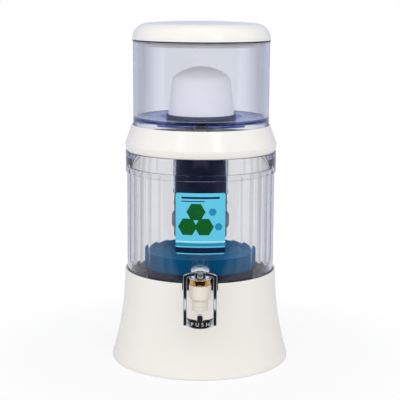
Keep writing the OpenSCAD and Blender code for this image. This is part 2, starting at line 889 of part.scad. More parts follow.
module body_2d() {
    round_x = body_r - body_round_r;
    groove_z = (spout_z + neck_low_z) / 2 - 1;
    difference() {
        union() {
            wall_2d(0, body_r, body_low_z, body_top_z);
            wall_2d(0, body_neck_r, body_top_z - eps, gold_top_z - 0.2);
            wall_2d(0, round_x, neck_low_z, body_low_z + eps);
            intersection() {
                translate([round_x, body_low_z]) circle(body_round_r);
                wall_2d(0, body_r, neck_low_z, body_low_z + eps);
            }
            wall_2d(0, spout_neck_r, neck_low_z - 2, neck_low_z + 1);
            wall_2d(0, spout_r, spout_z, neck_low_z - 2 + eps);
        }
        translate([spout_r + 1 - spout_groove, groove_z]) circle(1);
        wall_2d(0, chamber_r, seat_lip_z, gold_top_z + cut);
        wall_2d(0, seat_hole_r, neck_low_z, seat_lip_z + cut);
        wall_2d(0, spout_bore_r, spout_z - cut, neck_low_z + eps);
    }
    wall_2d(seat_hole_r, seat_hole_r + seat_lip_t, seat_lip_z - eps, seat_lip_z + seat_lip_h);
}

module tap_body() {
    color("ivory") difference() {
        union() {
            translate([0, tap_y, 0]) rotate_extrude() body_2d();
            along_y(shank_neck_r, tap_y + chamber_r + 1, flange_y + eps);
            along_y(flange_r, flange_y, flange_y + flange_t);
            along_y(shank_r, flange_y, shank_end_y);
        }
        along_y(shank_bore_r, tap_y, shank_end_y + cut);
    }
}

module washer(y_low, r_out) {
    color("gainsboro") difference() {
        along_y(r_out, y_low, y_low + washer_t);
        along_y(hole_r, y_low - cut, y_low + washer_t + cut);
    }
}

module tap_outer_washer() {
    washer(washer_y, flange_r);
}

module tap_inner_washer() {
    washer(pad_y, nut_af / 2);
}

module tap_nut() {
    color("whitesmoke") difference() {
        translate([0, inner_washer_y, tap_z]) rotate([-90, 0, 0])
            cylinder(r = nut_af / 2 / cos(30), h = nut_t, $fn = 6);
        along_y(shank_r + snug, inner_washer_y - cut, nut_y + cut);
    }
}

module gold_ring() {
    color("goldenrod") translate([0, tap_y, 0]) tube(body_neck_r + snug, gold_r, gold_z, gold_top_z);
}

// ---- Bonnet and valve ------------------------------------------------------

module bonnet_2d() {
    difference() {
        union() {
            wall_2d(bonnet_bore_r, skirt_r, bonnet_skirt_z, gold_top_z + eps);
            wall_2d(0, bonnet_flange_r, gold_top_z, bonnet_top_z);
            wall_2d(0, barrel_r, bonnet_top_z - eps, barrel_top_z);
            intersection() {
                translate([0, barrel_top_z + barrel_dome_h - barrel_dome_r]) circle(barrel_dome_r);
                wall_2d(0, barrel_r, barrel_top_z - eps, barrel_top_z + barrel_dome_h);
            }
        }
        wall_2d(0, bonnet_bore_r, bonnet_skirt_z - cut, web_z);
        wall_2d(0, bonnet_bore_r, web_top_z, bore_top_z);
        wall_2d(0, rod_collar_r + 0.6, bore_top_z - eps, stem_room_z);
    }
}

module tap_bonnet() {
    color("silver") difference() {
        translate([0, tap_y, 0]) rotate_extrude() bonnet_2d();
        translate([-slot_w / 2, tap_y - barrel_r - cut, slot_z])
            cube([slot_w, barrel_r + cut, slot_top_z - slot_z]);
        translate([0, tap_y, web_z - cut]) cylinder(r = rod_r + running_gap, h = web_t + 2 * cut);
        pin_bore(pin_r + running_gap);
    }
}

module valve_stem() {
    color("silver") translate([0, tap_y, 0]) {
        tube(0, rod_r, seal_z + 1.5, rod_top_z);
        tube(0, seal_r - 0.3, seal_top_z, spring_z);
        tube(0, rod_collar_r, rod_collar_z, rod_collar_z + rod_collar_h);
    }
}

module valve_seal() {
    color("gainsboro") translate([0, tap_y, 0]) rotate_extrude() difference() {
        polygon([
            [0, seal_z],
            [seal_r - 0.8, seal_z],
            [seal_r, seal_z + 1],
            [seal_r, seal_top_z - 1],
            [seal_r - 1, seal_top_z],
            [0, seal_top_z]
        ]);
        wall_2d(0, rod_r, seal_z + 1.5, seal_top_z + cut);
    }
}

// Round wire swept along a helix; each ring of points stands across the wire
module coil(r, wire_r, height, turns) {
    steps = 24;
    sides = 8;
    count = round(turns * steps);
    slope = atan(height / (2 * PI * r * turns));
    points = [
        for (i = [0 : count], j = [0 : sides - 1])
            let (turn = i * 360 / steps, side = j * 360 / sides)
            let (out = wire_r * cos(side), up = wire_r * sin(side))
            [
                (r + out) * cos(turn) + up * sin(slope) * sin(turn),
                (r + out) * sin(turn) - up * sin(slope) * cos(turn),
                height * i / count + up * cos(slope)
            ]
    ];
    walls = [
        for (i = [0 : count - 1], j = [0 : sides - 1])
            let (next = (j + 1) % sides)
            [i * sides + j, (i + 1) * sides + j, (i + 1) * sides + next, i * sides + next]
    ];
    first = [for (j = [0 : sides - 1]) j];
    last = [for (j = [sides - 1 : -1 : 0]) count * sides + j];
    polyhedron(points, concat(walls, [first], [last]));
}

module valve_spring() {
    wire_r = spring_wire / 2;
    color("silver") translate([0, tap_y, spring_z + wire_r + snug])
        coil(spring_r, wire_r, web_z - spring_z - 2 * wire_r - 2 * snug, spring_turns);
}

// ---- Lever -----------------------------------------------------------------

module pin_bore(r) {
    translate([-barrel_r, pin_y, pin_z]) rotate([0, 90, 0]) cylinder(r = r, h = 2 * barrel_r);
}

module lever_tongue() {
    half = tongue_w / 2;
    color("dimgray") difference() {
        union() {
            translate([-half, lever_back_y, tongue_z])
                cube([tongue_w, pin_y + tongue_reach - lever_back_y, tongue_h]);
            translate([-half, pin_y, pin_z]) rotate([0, 90, 0]) cylinder(r = knuckle_r, h = tongue_w);
        }
        pin_bore(pin_r + running_gap);
        translate([-fork_w / 2, tap_y - rod_r - 0.8, tongue_z - cut])
            cube([fork_w, tongue_reach, tongue_h + 2 * cut]);
        screw_hole(screw_shank_r, lever_back_y - cut, screw_end_y);
    }
}

module screw_hole(r, y_low, y_high) {
    translate([0, y_low, pin_z + 0.1]) rotate([-90, 0, 0]) cylinder(r = r, h = y_high - y_low);
}

module lever_pin() {
    color("silver") translate([-pin_l / 2, pin_y, pin_z]) rotate([0, 90, 0]) cylinder(r = pin_r, h = pin_l);
}

// Cross-recessed screw that holds the lever on its tongue
module lever_screw() {
    head_y = lever_back_y - web_back_t;
    recess_w = 1;
    recess_l = screw_head_r * 1.1;
    color("silver") difference() {
        union() {
            screw_hole(screw_head_r, head_y - screw_head_t, head_y);
            screw_hole(screw_shank_r, head_y - eps, screw_end_y);
        }
        for (turn = [0, 90]) translate([0, head_y - screw_head_t - cut, pin_z + 0.1]) rotate([0, turn, 0])
            translate([-recess_l / 2, 0, -recess_w / 2]) cube([recess_l, cut + 1, recess_w]);
    }
}

// Arched head of the lever seen from the front, with sloped corners
module lever_head_2d(half_w, low_z, top_z, corner) {
    arch_r = (half_w * half_w + crossbar_rise * crossbar_rise) / (2 * crossbar_rise);
    corner_x = half_w - corner;
    corner_z = top_z - crossbar_rise - corner / 2;
    slope_z = corner_z + corner * 1.3;
    intersection() {
        polygon([
            [-half_w, low_z],
            [half_w, low_z],
            [half_w, corner_z],
            [corner_x, slope_z],
            [corner_x, top_z + 1],
            [-corner_x, top_z + 1],
            [-corner_x, slope_z],
            [-half_w, corner_z]
        ]);
        translate([0, top_z - arch_r]) circle(arch_r, $fn = big_fn);
    }
}

// Push plate seen from the front: two parallel arcs that sag to the middle
module push_plate_2d(half_w) {
    sag_r = (half_w * half_w + plate_drop * plate_drop) / (2 * plate_drop);
    difference() {
        intersection() {
            translate([-half_w, lever_low_z - 1]) square([2 * half_w, plate_h + plate_drop + 2]);
            translate([0, lever_low_z + sag_r]) circle(sag_r, $fn = big_fn);
        }
        translate([0, lever_low_z + plate_h + sag_r]) circle(sag_r, $fn = big_fn);
    }
}

module lug_2d() {
    lug_low = lever_low_z + plate_h / 2;
    lug_round_z = lever_low_z + plate_h + lug_h - lug_w / 2;
    translate([-lug_w / 2, lug_low]) square([lug_w, lug_round_z - lug_low]);
    translate([0, lug_round_z]) circle(lug_w / 2);
}

// Bulged plate: the outlines above, cut from an upright tube
module push_plate(half_w) {
    intersection() {
        translate([0, push_face_y + plate_bow_r, 0])
            tube(plate_bow_r - push_t, plate_bow_r, lever_low_z - 2, pin_z);
        front_extrude(push_face_y - cut, push_face_y + arm_d + 2) {
            push_plate_2d(half_w);
            lug_2d();
        }
    }
}

module push_lever() {
    half_w = lever_w / 2;
    arm_back_y = lever_front_y + arm_d;
    arm_low_z = lever_low_z + plate_drop + 1;
    side_top_z = lever_top_z - crossbar_rise - lever_corner - 2;
    color("silver") difference() {
        union() {
            front_extrude(lever_front_y, lever_back_y) difference() {
                lever_head_2d(half_w, side_top_z, lever_top_z, lever_corner);
                translate([-arm_in, side_top_z - cut])
                    square([2 * arm_in, lever_top_z - crossbar_h - side_top_z + cut]);
            }
            front_extrude(box_front_y, lever_back_y)
                translate([-box_half_w, box_low_z]) square([2 * box_half_w, box_top_z - box_low_z]);
            for (side = [-1, 1]) translate([side * (half_w - arm_w / 2), 0, 0])
                front_extrude(lever_front_y, arm_back_y) translate([-arm_w / 2, arm_low_z])
                    square([arm_w, side_top_z + 1 - arm_low_z]);
            push_plate(half_w - 0.4);
        }
        front_extrude(box_front_y - cut, lever_back_y - web_back_t)
            translate([-box_half_w + box_rib, box_low_z - cut])
                square([2 * (box_half_w - box_rib), recess_top_z - box_low_z + cut]);
        screw_hole(screw_shank_r + snug, lever_front_y, lever_back_y + cut);
    }
}

// Moves what is drawn about the tanks' axis to its place behind the origin
module placed() {
    translate([0, axis_y, 0]) children();
}

placed() base_stand();
placed() lower_tank();
placed() front_label();
placed() tray_bowl();
placed() tray_cover();
placed() mineral_stones();
placed() middle_ring();
placed() upper_tank();
placed() lid();
placed() ceramic_dome();
placed() dome_plate();
placed() dome_gasket();
placed() wing_nut();
placed() cartridge_head();
placed() cartridge_sleeve();
placed() carbon_bed();
placed() felt_pads();
placed() mineral_housing();
placed() zeolite_bed();
placed() silica_bed();
placed() coupling_ring();
placed() cartridge_foot();
placed() tap_body();
placed() tap_outer_washer();
placed() tap_inner_washer();
placed() tap_nut();
placed() gold_ring();
placed() tap_bonnet();
placed() valve_stem();
placed() valve_seal();
placed() valve_spring();
placed() lever_tongue();
placed() lever_pin();
placed() lever_screw();
placed() push_lever();
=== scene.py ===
import math
import bmesh
import bpy
from mathutils import Matrix, Vector


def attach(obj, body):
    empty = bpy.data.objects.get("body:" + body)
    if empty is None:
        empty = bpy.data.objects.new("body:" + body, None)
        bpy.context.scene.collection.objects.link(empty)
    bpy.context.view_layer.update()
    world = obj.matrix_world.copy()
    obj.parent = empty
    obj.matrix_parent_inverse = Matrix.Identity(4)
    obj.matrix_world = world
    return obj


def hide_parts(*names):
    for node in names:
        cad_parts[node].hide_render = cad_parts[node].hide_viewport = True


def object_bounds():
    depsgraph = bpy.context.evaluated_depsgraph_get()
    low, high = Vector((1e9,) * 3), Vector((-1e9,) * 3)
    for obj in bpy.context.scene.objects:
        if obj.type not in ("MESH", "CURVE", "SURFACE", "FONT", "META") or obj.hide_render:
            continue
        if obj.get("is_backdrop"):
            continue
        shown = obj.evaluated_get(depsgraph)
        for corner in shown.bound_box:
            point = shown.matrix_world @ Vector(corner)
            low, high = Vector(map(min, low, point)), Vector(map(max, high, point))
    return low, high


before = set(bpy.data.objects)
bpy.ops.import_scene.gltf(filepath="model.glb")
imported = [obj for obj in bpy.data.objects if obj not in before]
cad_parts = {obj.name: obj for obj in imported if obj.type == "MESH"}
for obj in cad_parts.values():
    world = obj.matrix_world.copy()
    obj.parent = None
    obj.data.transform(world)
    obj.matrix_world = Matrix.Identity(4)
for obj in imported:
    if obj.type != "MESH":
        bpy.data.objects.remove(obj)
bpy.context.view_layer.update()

# ---- Stand ------------------------------------------------------------------
# One ivory white injection moulding, open underneath, that flares out to the floor. A ledge with
# gussets inside it carries the lower tank, and a notch in its rim lets the tap through.
MM = 0.001
AXIS_Y = 17.75
TURNS = 192
SHARP = 35
ON_AXIS = 1e-6
NEARLY_STRAIGHT = math.pi - 0.02
MOST_OF_SIDE = 0.49
TOOL_GRAIN = 1500.0


def shown(name, data):
    """Puts a mesh, a letter, a lamp or a camera into the scene."""
    item = bpy.data.objects.new(name, data)
    bpy.context.scene.collection.objects.link(item)
    return item


def smooth(mesh, sharp=SHARP):
    """Smooth faces, with hard edges where they meet at more than an angle."""
    mesh.polygons.foreach_set("use_smooth", [True] * len(mesh.polygons))
    mesh.set_sharp_from_angle(angle=math.radians(sharp))


def add_piece(name, points, faces, sharp=SHARP):
    """A mesh piece from points in millimetres about the tanks' axis."""
    mesh = bpy.data.meshes.new(name)
    mesh.from_pydata([(x * MM, (y + AXIS_Y) * MM, z * MM) for x, y, z in points], [], faces)
    work = bmesh.new()
    work.from_mesh(mesh)
    bmesh.ops.remove_doubles(work, verts=work.verts, dist=1e-7)
    bmesh.ops.recalc_face_normals(work, faces=work.faces)
    work.to_mesh(mesh)
    work.free()
    smooth(mesh, sharp)
    return shown(name, mesh)


def rounded(corners, steps=5):
    """A closed outline with a fillet at each corner that states a radius: (r, z, radius)."""
    outline = []
    for i, corner in enumerate(corners):
        radius = corner[2] if len(corner) > 2 else 0
        here = Vector(corner[:2])
        to_last = Vector(corners[i - 1][:2]) - here
        to_next = Vector(corners[(i + 1) % len(corners)][:2]) - here
        turn = to_last.angle(to_next, math.pi) if radius else math.pi
        if turn > NEARLY_STRAIGHT:
            outline.append(tuple(here))
            continue
        most = MOST_OF_SIDE * min(to_last.length, to_next.length)
        back = min(radius / math.tan(turn / 2), most)
        start = here + to_last.normalized() * back
        end = here + to_next.normalized() * back
        inward = (to_last.normalized() + to_next.normalized()).normalized()
        centre = here + inward * back / math.cos(turn / 2)
        first, last = start - centre, end - centre
        sweep = first.angle_signed(last)
        for k in range(steps + 1):
            outline.append(tuple(centre + Matrix.Rotation(-sweep * k / steps, 2) @ first))
    return outline


def turned(name, outline, turns=TURNS, sharp=SHARP, about_y=0.0):
    """A solid of revolution about the tanks' axis, or about another upright axis on the midplane."""
    count = len(outline)
    points, faces = [], []
    for i in range(turns):
        angle = 2 * math.pi * i / turns
        points += [(r * math.cos(angle), about_y + r * math.sin(angle), z) for r, z in outline]
    for i in range(turns):
        a, b = i * count, (i + 1) % turns * count
        for j in range(count):
            k = (j + 1) % count
            quad = (a + j, b + j, b + k, a + k)
            if outline[j][0] < ON_AXIS and outline[k][0] < ON_AXIS:
                continue
            if outline[j][0] < ON_AXIS:
                quad = (a + j, b + k, a + k)
            elif outline[k][0] < ON_AXIS:
                quad = (a + j, b + j, a + k)
            faces.append(quad)
    return add_piece(name, points, faces, sharp)


def block(name, low, high):
    """A plain box between two opposite corners."""
    points = [(x, y, z) for x in (low[0], high[0]) for y in (low[1], high[1]) for z in (low[2], high[2])]
    faces = [(0, 1, 3, 2), (4, 6, 7, 5), (0, 4, 5, 1), (2, 3, 7, 6), (0, 2, 6, 4), (1, 5, 7, 3)]
    return add_piece(name, points, faces)


def baked(item):
    """The mesh of an object with its modifiers applied."""
    graph = bpy.context.evaluated_depsgraph_get()
    return bpy.data.meshes.new_from_object(item.evaluated_get(graph))


def apply_all(piece):
    """Turns a piece's modifiers into its mesh."""
    mesh = baked(piece)
    piece.modifiers.clear()
    piece.data = mesh
    return piece


def cut_away(piece, cutter):
    """Cuts one piece by another, which is then removed."""
    step = piece.modifiers.new("cut", "BOOLEAN")
    step.operation = "DIFFERENCE"
    step.object = cutter
    step.solver = "EXACT"
    apply_all(piece)
    bpy.data.objects.remove(cutter)
    return piece


def joined(name, pieces):
    """Several meshes as one piece."""
    points, faces = [], []
    for piece in pieces:
        base = len(points)
        points += [tuple(v.co) for v in piece.data.vertices]
        faces += [tuple(base + v for v in face.vertices) for face in piece.data.polygons]
        bpy.data.objects.remove(piece)
    mesh = bpy.data.meshes.new(name)
    mesh.from_pydata(points, [], faces)
    smooth(mesh)
    return shown(name, mesh)


def tone(red, green, blue):
    """A colour given as it looks, from 0 to 255, as the linear value that a shader takes."""
    parts = [v / 255 for v in (red, green, blue)]
    return tuple(v / 12.92 if v <= 0.04045 else ((v + 0.055) / 1.055) ** 2.4 for v in parts) + (1.0,)


def feed(tree, node, inputs):
    """Gives each named input of a node a plain value, or another node's output."""
    for name, value in inputs.items():
        if isinstance(value, bpy.types.NodeSocket):
            tree.links.new(value, node.inputs[name])
        else:
            node.inputs[name].default_value = value
    return node


def add_node(tree, kind, inputs, **settings):
    """A new shader node with its settings and its inputs."""
    node = tree.nodes.new("ShaderNode" + kind)
    for name, setting in settings.items():
        setattr(node, name, setting)
    return feed(tree, node, inputs)


def calc(tree, operation, *values):
    """The result of a Math node."""
    return add_node(tree, "Math", dict(enumerate(values)), operation=operation).outputs[0]


def blend(tree, share, first, second, how="MIX"):
    """A mix of two colours, by the share of the second."""
    colours = {"Factor": share, "A": first, "B": second}
    return add_node(tree, "Mix", colours, data_type="RGBA", blend_type=how).outputs["Result"]


def new_group(name, inputs, outputs):
    """An empty node group with its inputs' sockets and its output node."""
    group = bpy.data.node_groups.new(name, "ShaderNodeTree")
    for label, kind, value in inputs:
        socket = group.interface.new_socket(label, in_out="INPUT", socket_type="NodeSocket" + kind)
        socket.default_value = value
    for label, kind in outputs:
        group.interface.new_socket(label, in_out="OUTPUT", socket_type="NodeSocket" + kind)
    given = group.nodes.new("NodeGroupInput")
    return group, given.outputs, group.nodes.new("NodeGroupOutput")


def mould_skin_group():
    """Slow drift of tone and gloss over a moulding, with the fine grain of its tool as height."""
    group, given, made = new_group("mould_skin", [
        ("Color", "Color", (0.8, 0.8, 0.8, 1)), ("Shade", "Color", (0.6, 0.6, 0.6, 1)),
        ("Drift", "Float", 0.2), ("Roughness", "Float", 0.3), ("Gloss Drift", "Float", 0.05),
        ("Grain Scale", "Float", TOOL_GRAIN)],
        [("Color", "Color"), ("Roughness", "Float"), ("Height", "Float")])
    where = add_node(group, "TexCoord", {}).outputs["Object"]

    def noise(**look):
        return add_node(group, "TexNoise", {"Vector": where, **look}).outputs["Fac"]

    drift = calc(group, "MULTIPLY", noise(Scale=9.0), given["Drift"])
    cloud = noise(Scale=60.0, Detail=4.0)
    feed(group, made, {
        "Color": blend(group, drift, given["Color"], given["Shade"]),
        "Roughness": calc(group, "MULTIPLY_ADD", cloud, given["Gloss Drift"], given["Roughness"]),
        "Height": noise(Scale=given["Grain Scale"])})
    return group


MOULD_SKIN = mould_skin_group()


def new_material(name):
    """A material with its node tree and its shader."""
    material = bpy.data.materials.new(name)
    material.use_nodes = True
    return material, material.node_tree, material.node_tree.nodes["Principled BSDF"]


def grouped(name, group, values, strength, distance, looks):
    """A material on a node group with its own values. The group's height makes the bump, and each of
    the shader's inputs in looks takes a plain value or the group's output of the name given."""
    material, tree, shader = new_material(name)
    skin = add_node(tree, "Group", values, node_tree=group).outputs
    bump = add_node(tree, "Bump", {"Height": skin["Height"], "Strength": strength, "Distance": distance})
    feed(tree, shader, {"Normal": bump.outputs["Normal"]})
    for socket, look in looks.items():
        feed(tree, shader, {socket: skin[look] if isinstance(look, str) else look})
    return material


def moulded(name, color, shade, roughness, gloss_drift=0.06, depth=0.004, coat=0.0, specular=0.5):
    """A moulded plastic: colour with slow drift, uneven gloss and a trace of tool grain."""
    skin = {"Color": tone(*color), "Shade": tone(*shade), "Drift": 0.5, "Roughness": roughness,
            "Gloss Drift": gloss_drift, "Grain Scale": TOOL_GRAIN}
    return grouped(name, MOULD_SKIN, skin, depth, 0.0003, {
        "Base Color": "Color", "Roughness": "Roughness", "Coat Weight": coat,
        "Specular IOR Level": specular})


def fit(piece, body, slot, material, *nodes):
    """Gives a piece its finish, its body and the CAD nodes that it stands for."""
    piece.data.materials.clear()
    piece.data.materials.append(material)
    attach(piece, body)
    if nodes:
        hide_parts(*nodes)
    return piece


def arc_radius(half, rise):
    """The radius of an arc from half its chord and its rise."""
    return (half * half + rise * rise) / (2 * rise)


STAND_TOP = 142.0
STAND_RIM_R = 117.0
STAND_FOOT_R = 137.0
STAND_EDGE = 5.0
STAND_WALL = 3.0
FOOT_RING_R = STAND_FOOT_R - 9
FOOT_RING_T = 3.0
SEAT_Z = 117.8
SEAT_LOW = SEAT_Z - 3
SEAT_R = STAND_RIM_R - 20
NOTCH_HALF = 26.5
NOTCH_Z = 131.4
GUSSETS = 12
GUSSET_HALF = 1.2
GUSSET_Z = SEAT_Z - 26
GUSSET_TOP = SEAT_LOW + 0.5
GUSSET_R = 97.5
GUSSET_FOOT_R = 114.0
FLARE_STEPS = 26
drop = STAND_TOP - STAND_EDGE
flare_radius = arc_radius(drop, STAND_FOOT_R - STAND_RIM_R)


def stand_r(z):
    """The stand's outer radius at a height."""
    return STAND_RIM_R + flare_radius - math.sqrt(flare_radius ** 2 - (STAND_TOP - z) ** 2)


levels = [STAND_TOP - drop * i / FLARE_STEPS for i in range(FLARE_STEPS + 1)]
outside = [(stand_r(z), z) for z in levels]
inside = [(stand_r(z) - STAND_WALL, z) for z in levels]
stand_outline = rounded(
    [(STAND_RIM_R - STAND_WALL, STAND_TOP, 1.2), (STAND_RIM_R, STAND_TOP, 1.4)] + outside[1:]
    + [(STAND_FOOT_R, 0, 2.6), (FOOT_RING_R, 0, 0.8), (FOOT_RING_R, FOOT_RING_T, 0.6),
       (STAND_FOOT_R - STAND_WALL - 0.4, FOOT_RING_T)]
    + [p for p in reversed(inside) if 2 * FOOT_RING_T < p[1] < SEAT_LOW]
    + [(stand_r(SEAT_LOW) - STAND_WALL, SEAT_LOW), (SEAT_R, SEAT_LOW, 0.6),
       (SEAT_R, SEAT_Z, 0.6), (STAND_RIM_R - STAND_WALL, SEAT_Z)])
stand = turned("stand_shell", stand_outline)
cut_away(stand, block("notch", (-NOTCH_HALF, -150, NOTCH_Z), (NOTCH_HALF, -99.5, STAND_TOP + 8)))
ribs = []
for i in range(GUSSETS):
    rib = block("gusset", (-GUSSET_HALF, GUSSET_R, GUSSET_Z), (GUSSET_HALF, STAND_RIM_R + 1, GUSSET_TOP))
    for v in rib.data.vertices:
        if v.co.z < (GUSSET_Z + 1) * MM:
            outer = v.co.y > (AXIS_Y + GUSSET_FOOT_R) * MM
            reach = stand_r(GUSSET_Z) - STAND_WALL / 2 if outer else GUSSET_FOOT_R
            v.co.y = (AXIS_Y + reach) * MM
    turn = Matrix.Rotation(math.radians(360 / GUSSETS * i), 4, "Z")
    shift = Matrix.Translation((0, AXIS_Y * MM, 0))
    rib.data.transform(shift @ turn @ shift.inverted())
    ribs.append(rib)
stand = joined("stand_shell", [stand] + ribs)
IVORY = moulded("ivory_plastic", (243, 239, 232), (238, 232, 222), 0.32, gloss_drift=0.01, coat=0.1)
fit(stand, "stand", "stand_plastic", IVORY, "base_stand")

# ---- Lower tank -------------------------------------------------------------
# A thick clear moulding with a faint grey tint. Thirty-six shallow flutes with arched ends run down
# the inside of its wall, and a collar at its top carries the middle ring.
TANK_Z = 118.0
TANK_R = 113.5
BORE_R = 107.5
TANK_FLOOR = 124.0
COLLAR_R = 115.5
COLLAR_Z = 293.5
SHOULDER_Z = 326.0
SPIGOT_R = 112.5
SPIGOT_TOP = 334.0
MOUTH_R = 110.0
MOUTH_Z = 302.0
FLUTES = 36
FLUTE_HALF = 4.35
FLUTE_DEPTH = 0.34
FLUTE_TOP = 300.6
FLUTE_LOW = 155.5
FLUTE_ACROSS = [-1, -0.93, -0.75, -0.4, 0, 0.4, 0.75, 0.93, 1]
half_arch = math.radians(FLUTE_HALF) * BORE_R
straight = FLUTE_TOP - FLUTE_LOW - 2 * half_arch


def clear_plastic(name, face, density, color, roughness=0.0, ior=1.46):
    """Clear plastic with a tint on each face, and more of it where it is seen along its wall."""
    skin = {"Roughness": roughness, "Gloss Drift": 0.015, "Grain Scale": 40.0}
    material = grouped(name, MOULD_SKIN, skin, 0.05, 0.0004, {
        "Base Color": face, "Roughness": "Roughness", "Transmission Weight": 1.0, "IOR": ior})
    tree = material.node_tree
    tint = add_node(tree, "VolumeAbsorption", {"Color": color, "Density": density})
    feed(tree, tree.nodes["Material Output"], {"Volume": tint.outputs["Volume"]})
    return material


def flute_cut(across, z):
    """How deep a flute is at a share of its half width and a height."""
    rise = max(0.0, z - (FLUTE_TOP - half_arch), (FLUTE_LOW + half_arch) - z) / half_arch
    if rise >= 1:
        return 0.0
    reach = across / math.sqrt(1 - rise * rise)
    return 0.0 if abs(reach) >= 1 else FLUTE_DEPTH * (1 - reach ** 2)


tank_wall = rounded([
    (0, TANK_Z), (TANK_R, TANK_Z, 3.0), (TANK_R, COLLAR_Z), (COLLAR_R, COLLAR_Z + 1.0),
    (COLLAR_R, SHOULDER_Z, 0.6), (SPIGOT_R, SHOULDER_Z, 0.3), (SPIGOT_R, SPIGOT_TOP, 0.7),
    (MOUTH_R, SPIGOT_TOP, 0.5), (MOUTH_R, MOUTH_Z, 0.1), (BORE_R, MOUTH_Z, 0.1)], steps=4)
quarter = [math.pi / 2 * i / 9 for i in range(10)]
bore_levels = [FLUTE_TOP - half_arch * (1 - math.cos(a)) for a in quarter]
bore_levels += [FLUTE_TOP - half_arch - straight * i / 12 for i in range(1, 12)]
bore_levels += [FLUTE_LOW + half_arch * (1 - math.sin(a)) for a in quarter]
tank_floor = [(BORE_R, TANK_FLOOR + 3), (BORE_R - 0.9, TANK_FLOOR + 0.9), (BORE_R - 3, TANK_FLOOR),
              (0, TANK_FLOOR)]
rows = [(r, z, False) for r, z in tank_wall] + [(BORE_R, z, True) for z in bore_levels]
rows += [(r, z, False) for r, z in tank_floor]
points, faces, columns = [], [], []
for i in range(FLUTES):
    columns += [(math.radians(360 / FLUTES * i + FLUTE_HALF * a), a) for a in FLUTE_ACROSS]
for angle, across in columns:
    for r, z, fluted in rows:
        reach = r + (flute_cut(across, z) if fluted else 0)
        points.append((reach * math.cos(angle), reach * math.sin(angle), z))
for i in range(len(columns)):
    a, b = i * len(rows), (i + 1) % len(columns) * len(rows)
    faces += [(a + j, b + j, b + j + 1, a + j + 1) for j in range(len(rows) - 1)]
tank = add_piece("lower_tank_shell", points, faces, sharp=24)
LOWER_CLEAR = clear_plastic("clear_grey", (0.93, 0.93, 0.925, 1), 12.0, (0.17, 0.19, 0.5, 1))
fit(tank, "tank", "clear_plastic", LOWER_CLEAR, "lower_tank")
tank.visible_shadow = False

# ---- Label ------------------------------------------------------------------
# A printed film stuck on the front of the lower tank, with rounded corners. Its print is a plain
# one of its own: dark green and teal hexagons between navy bars on a cyan ground.
LABEL_W = 74.0
LABEL_H = 91.0
LABEL_LOW = 186.0
LABEL_CORNER = 3.0
LABEL_T = 0.35
LABEL_STRIPS = 18
LARGE_HEX = 12.2
SMALL_HEX = 5.2
BAR_START = -28
COS_30 = 0.866
SIN_30 = 0.5
label_r = TANK_R + 0.06


def arc(centre_x, centre_z, radius, start, end, steps):
    """Points of an arc between two angles in radians, with both its ends."""
    angles = [start + (end - start) * k / steps for k in range(steps + 1)]
    return [(centre_x + radius * math.cos(a), centre_z + radius * math.sin(a)) for a in angles]


def thickened(sheet, thickness, outward):
    """Turns a sheet's face to the front and gives it thickness, outward (1) or inward (-1)."""
    if sheet.data.polygons[0].normal.y > 0:
        sheet.data.flip_normals()
    solid = sheet.modifiers.new("thickness", "SOLIDIFY")
    solid.thickness = thickness * MM
    solid.offset = outward
    return apply_all(sheet)


def label_film():
    """The film as a bent sheet with thickness, cut to a rounded rectangle."""
    work = bmesh.new()
    edge = []
    for corner, (right, up) in enumerate(((1, 1), (-1, 1), (-1, -1), (1, -1))):
        start = corner * math.pi / 2
        edge += arc(right * (LABEL_W / 2 - LABEL_CORNER), up * (LABEL_H / 2 - LABEL_CORNER),
                    LABEL_CORNER, start, start + math.pi / 2, 6)
    work.faces.new([work.verts.new((x, 0, z)) for x, z in edge])
    for k in range(1, LABEL_STRIPS):
        everything = work.verts[:] + work.edges[:] + work.faces[:]
        fold = ((k / LABEL_STRIPS - 0.5) * LABEL_W, 0, 0)
        bmesh.ops.bisect_plane(work, geom=everything, plane_co=fold, plane_no=(1, 0, 0))
    for v in work.verts:
        angle = v.co.x / label_r
        z = LABEL_LOW + LABEL_H / 2 + v.co.z
        v.co = (label_r * math.sin(angle) * MM, (AXIS_Y - label_r * math.cos(angle)) * MM, z * MM)
    mesh = bpy.data.meshes.new("label_print")
    bmesh.ops.recalc_face_normals(work, faces=work.faces)
    work.to_mesh(mesh)
    work.free()
    film = thickened(shown("label_print", mesh), LABEL_T, 1)
    smooth(film.data)
    return film


def surface_place(tree, space="Object"):
    """The place that is shaded, as a vector and as its three axes."""
    where = add_node(tree, "TexCoord", {}).outputs[space]
    return where, add_node(tree, "SeparateXYZ", {"Vector": where}).outputs


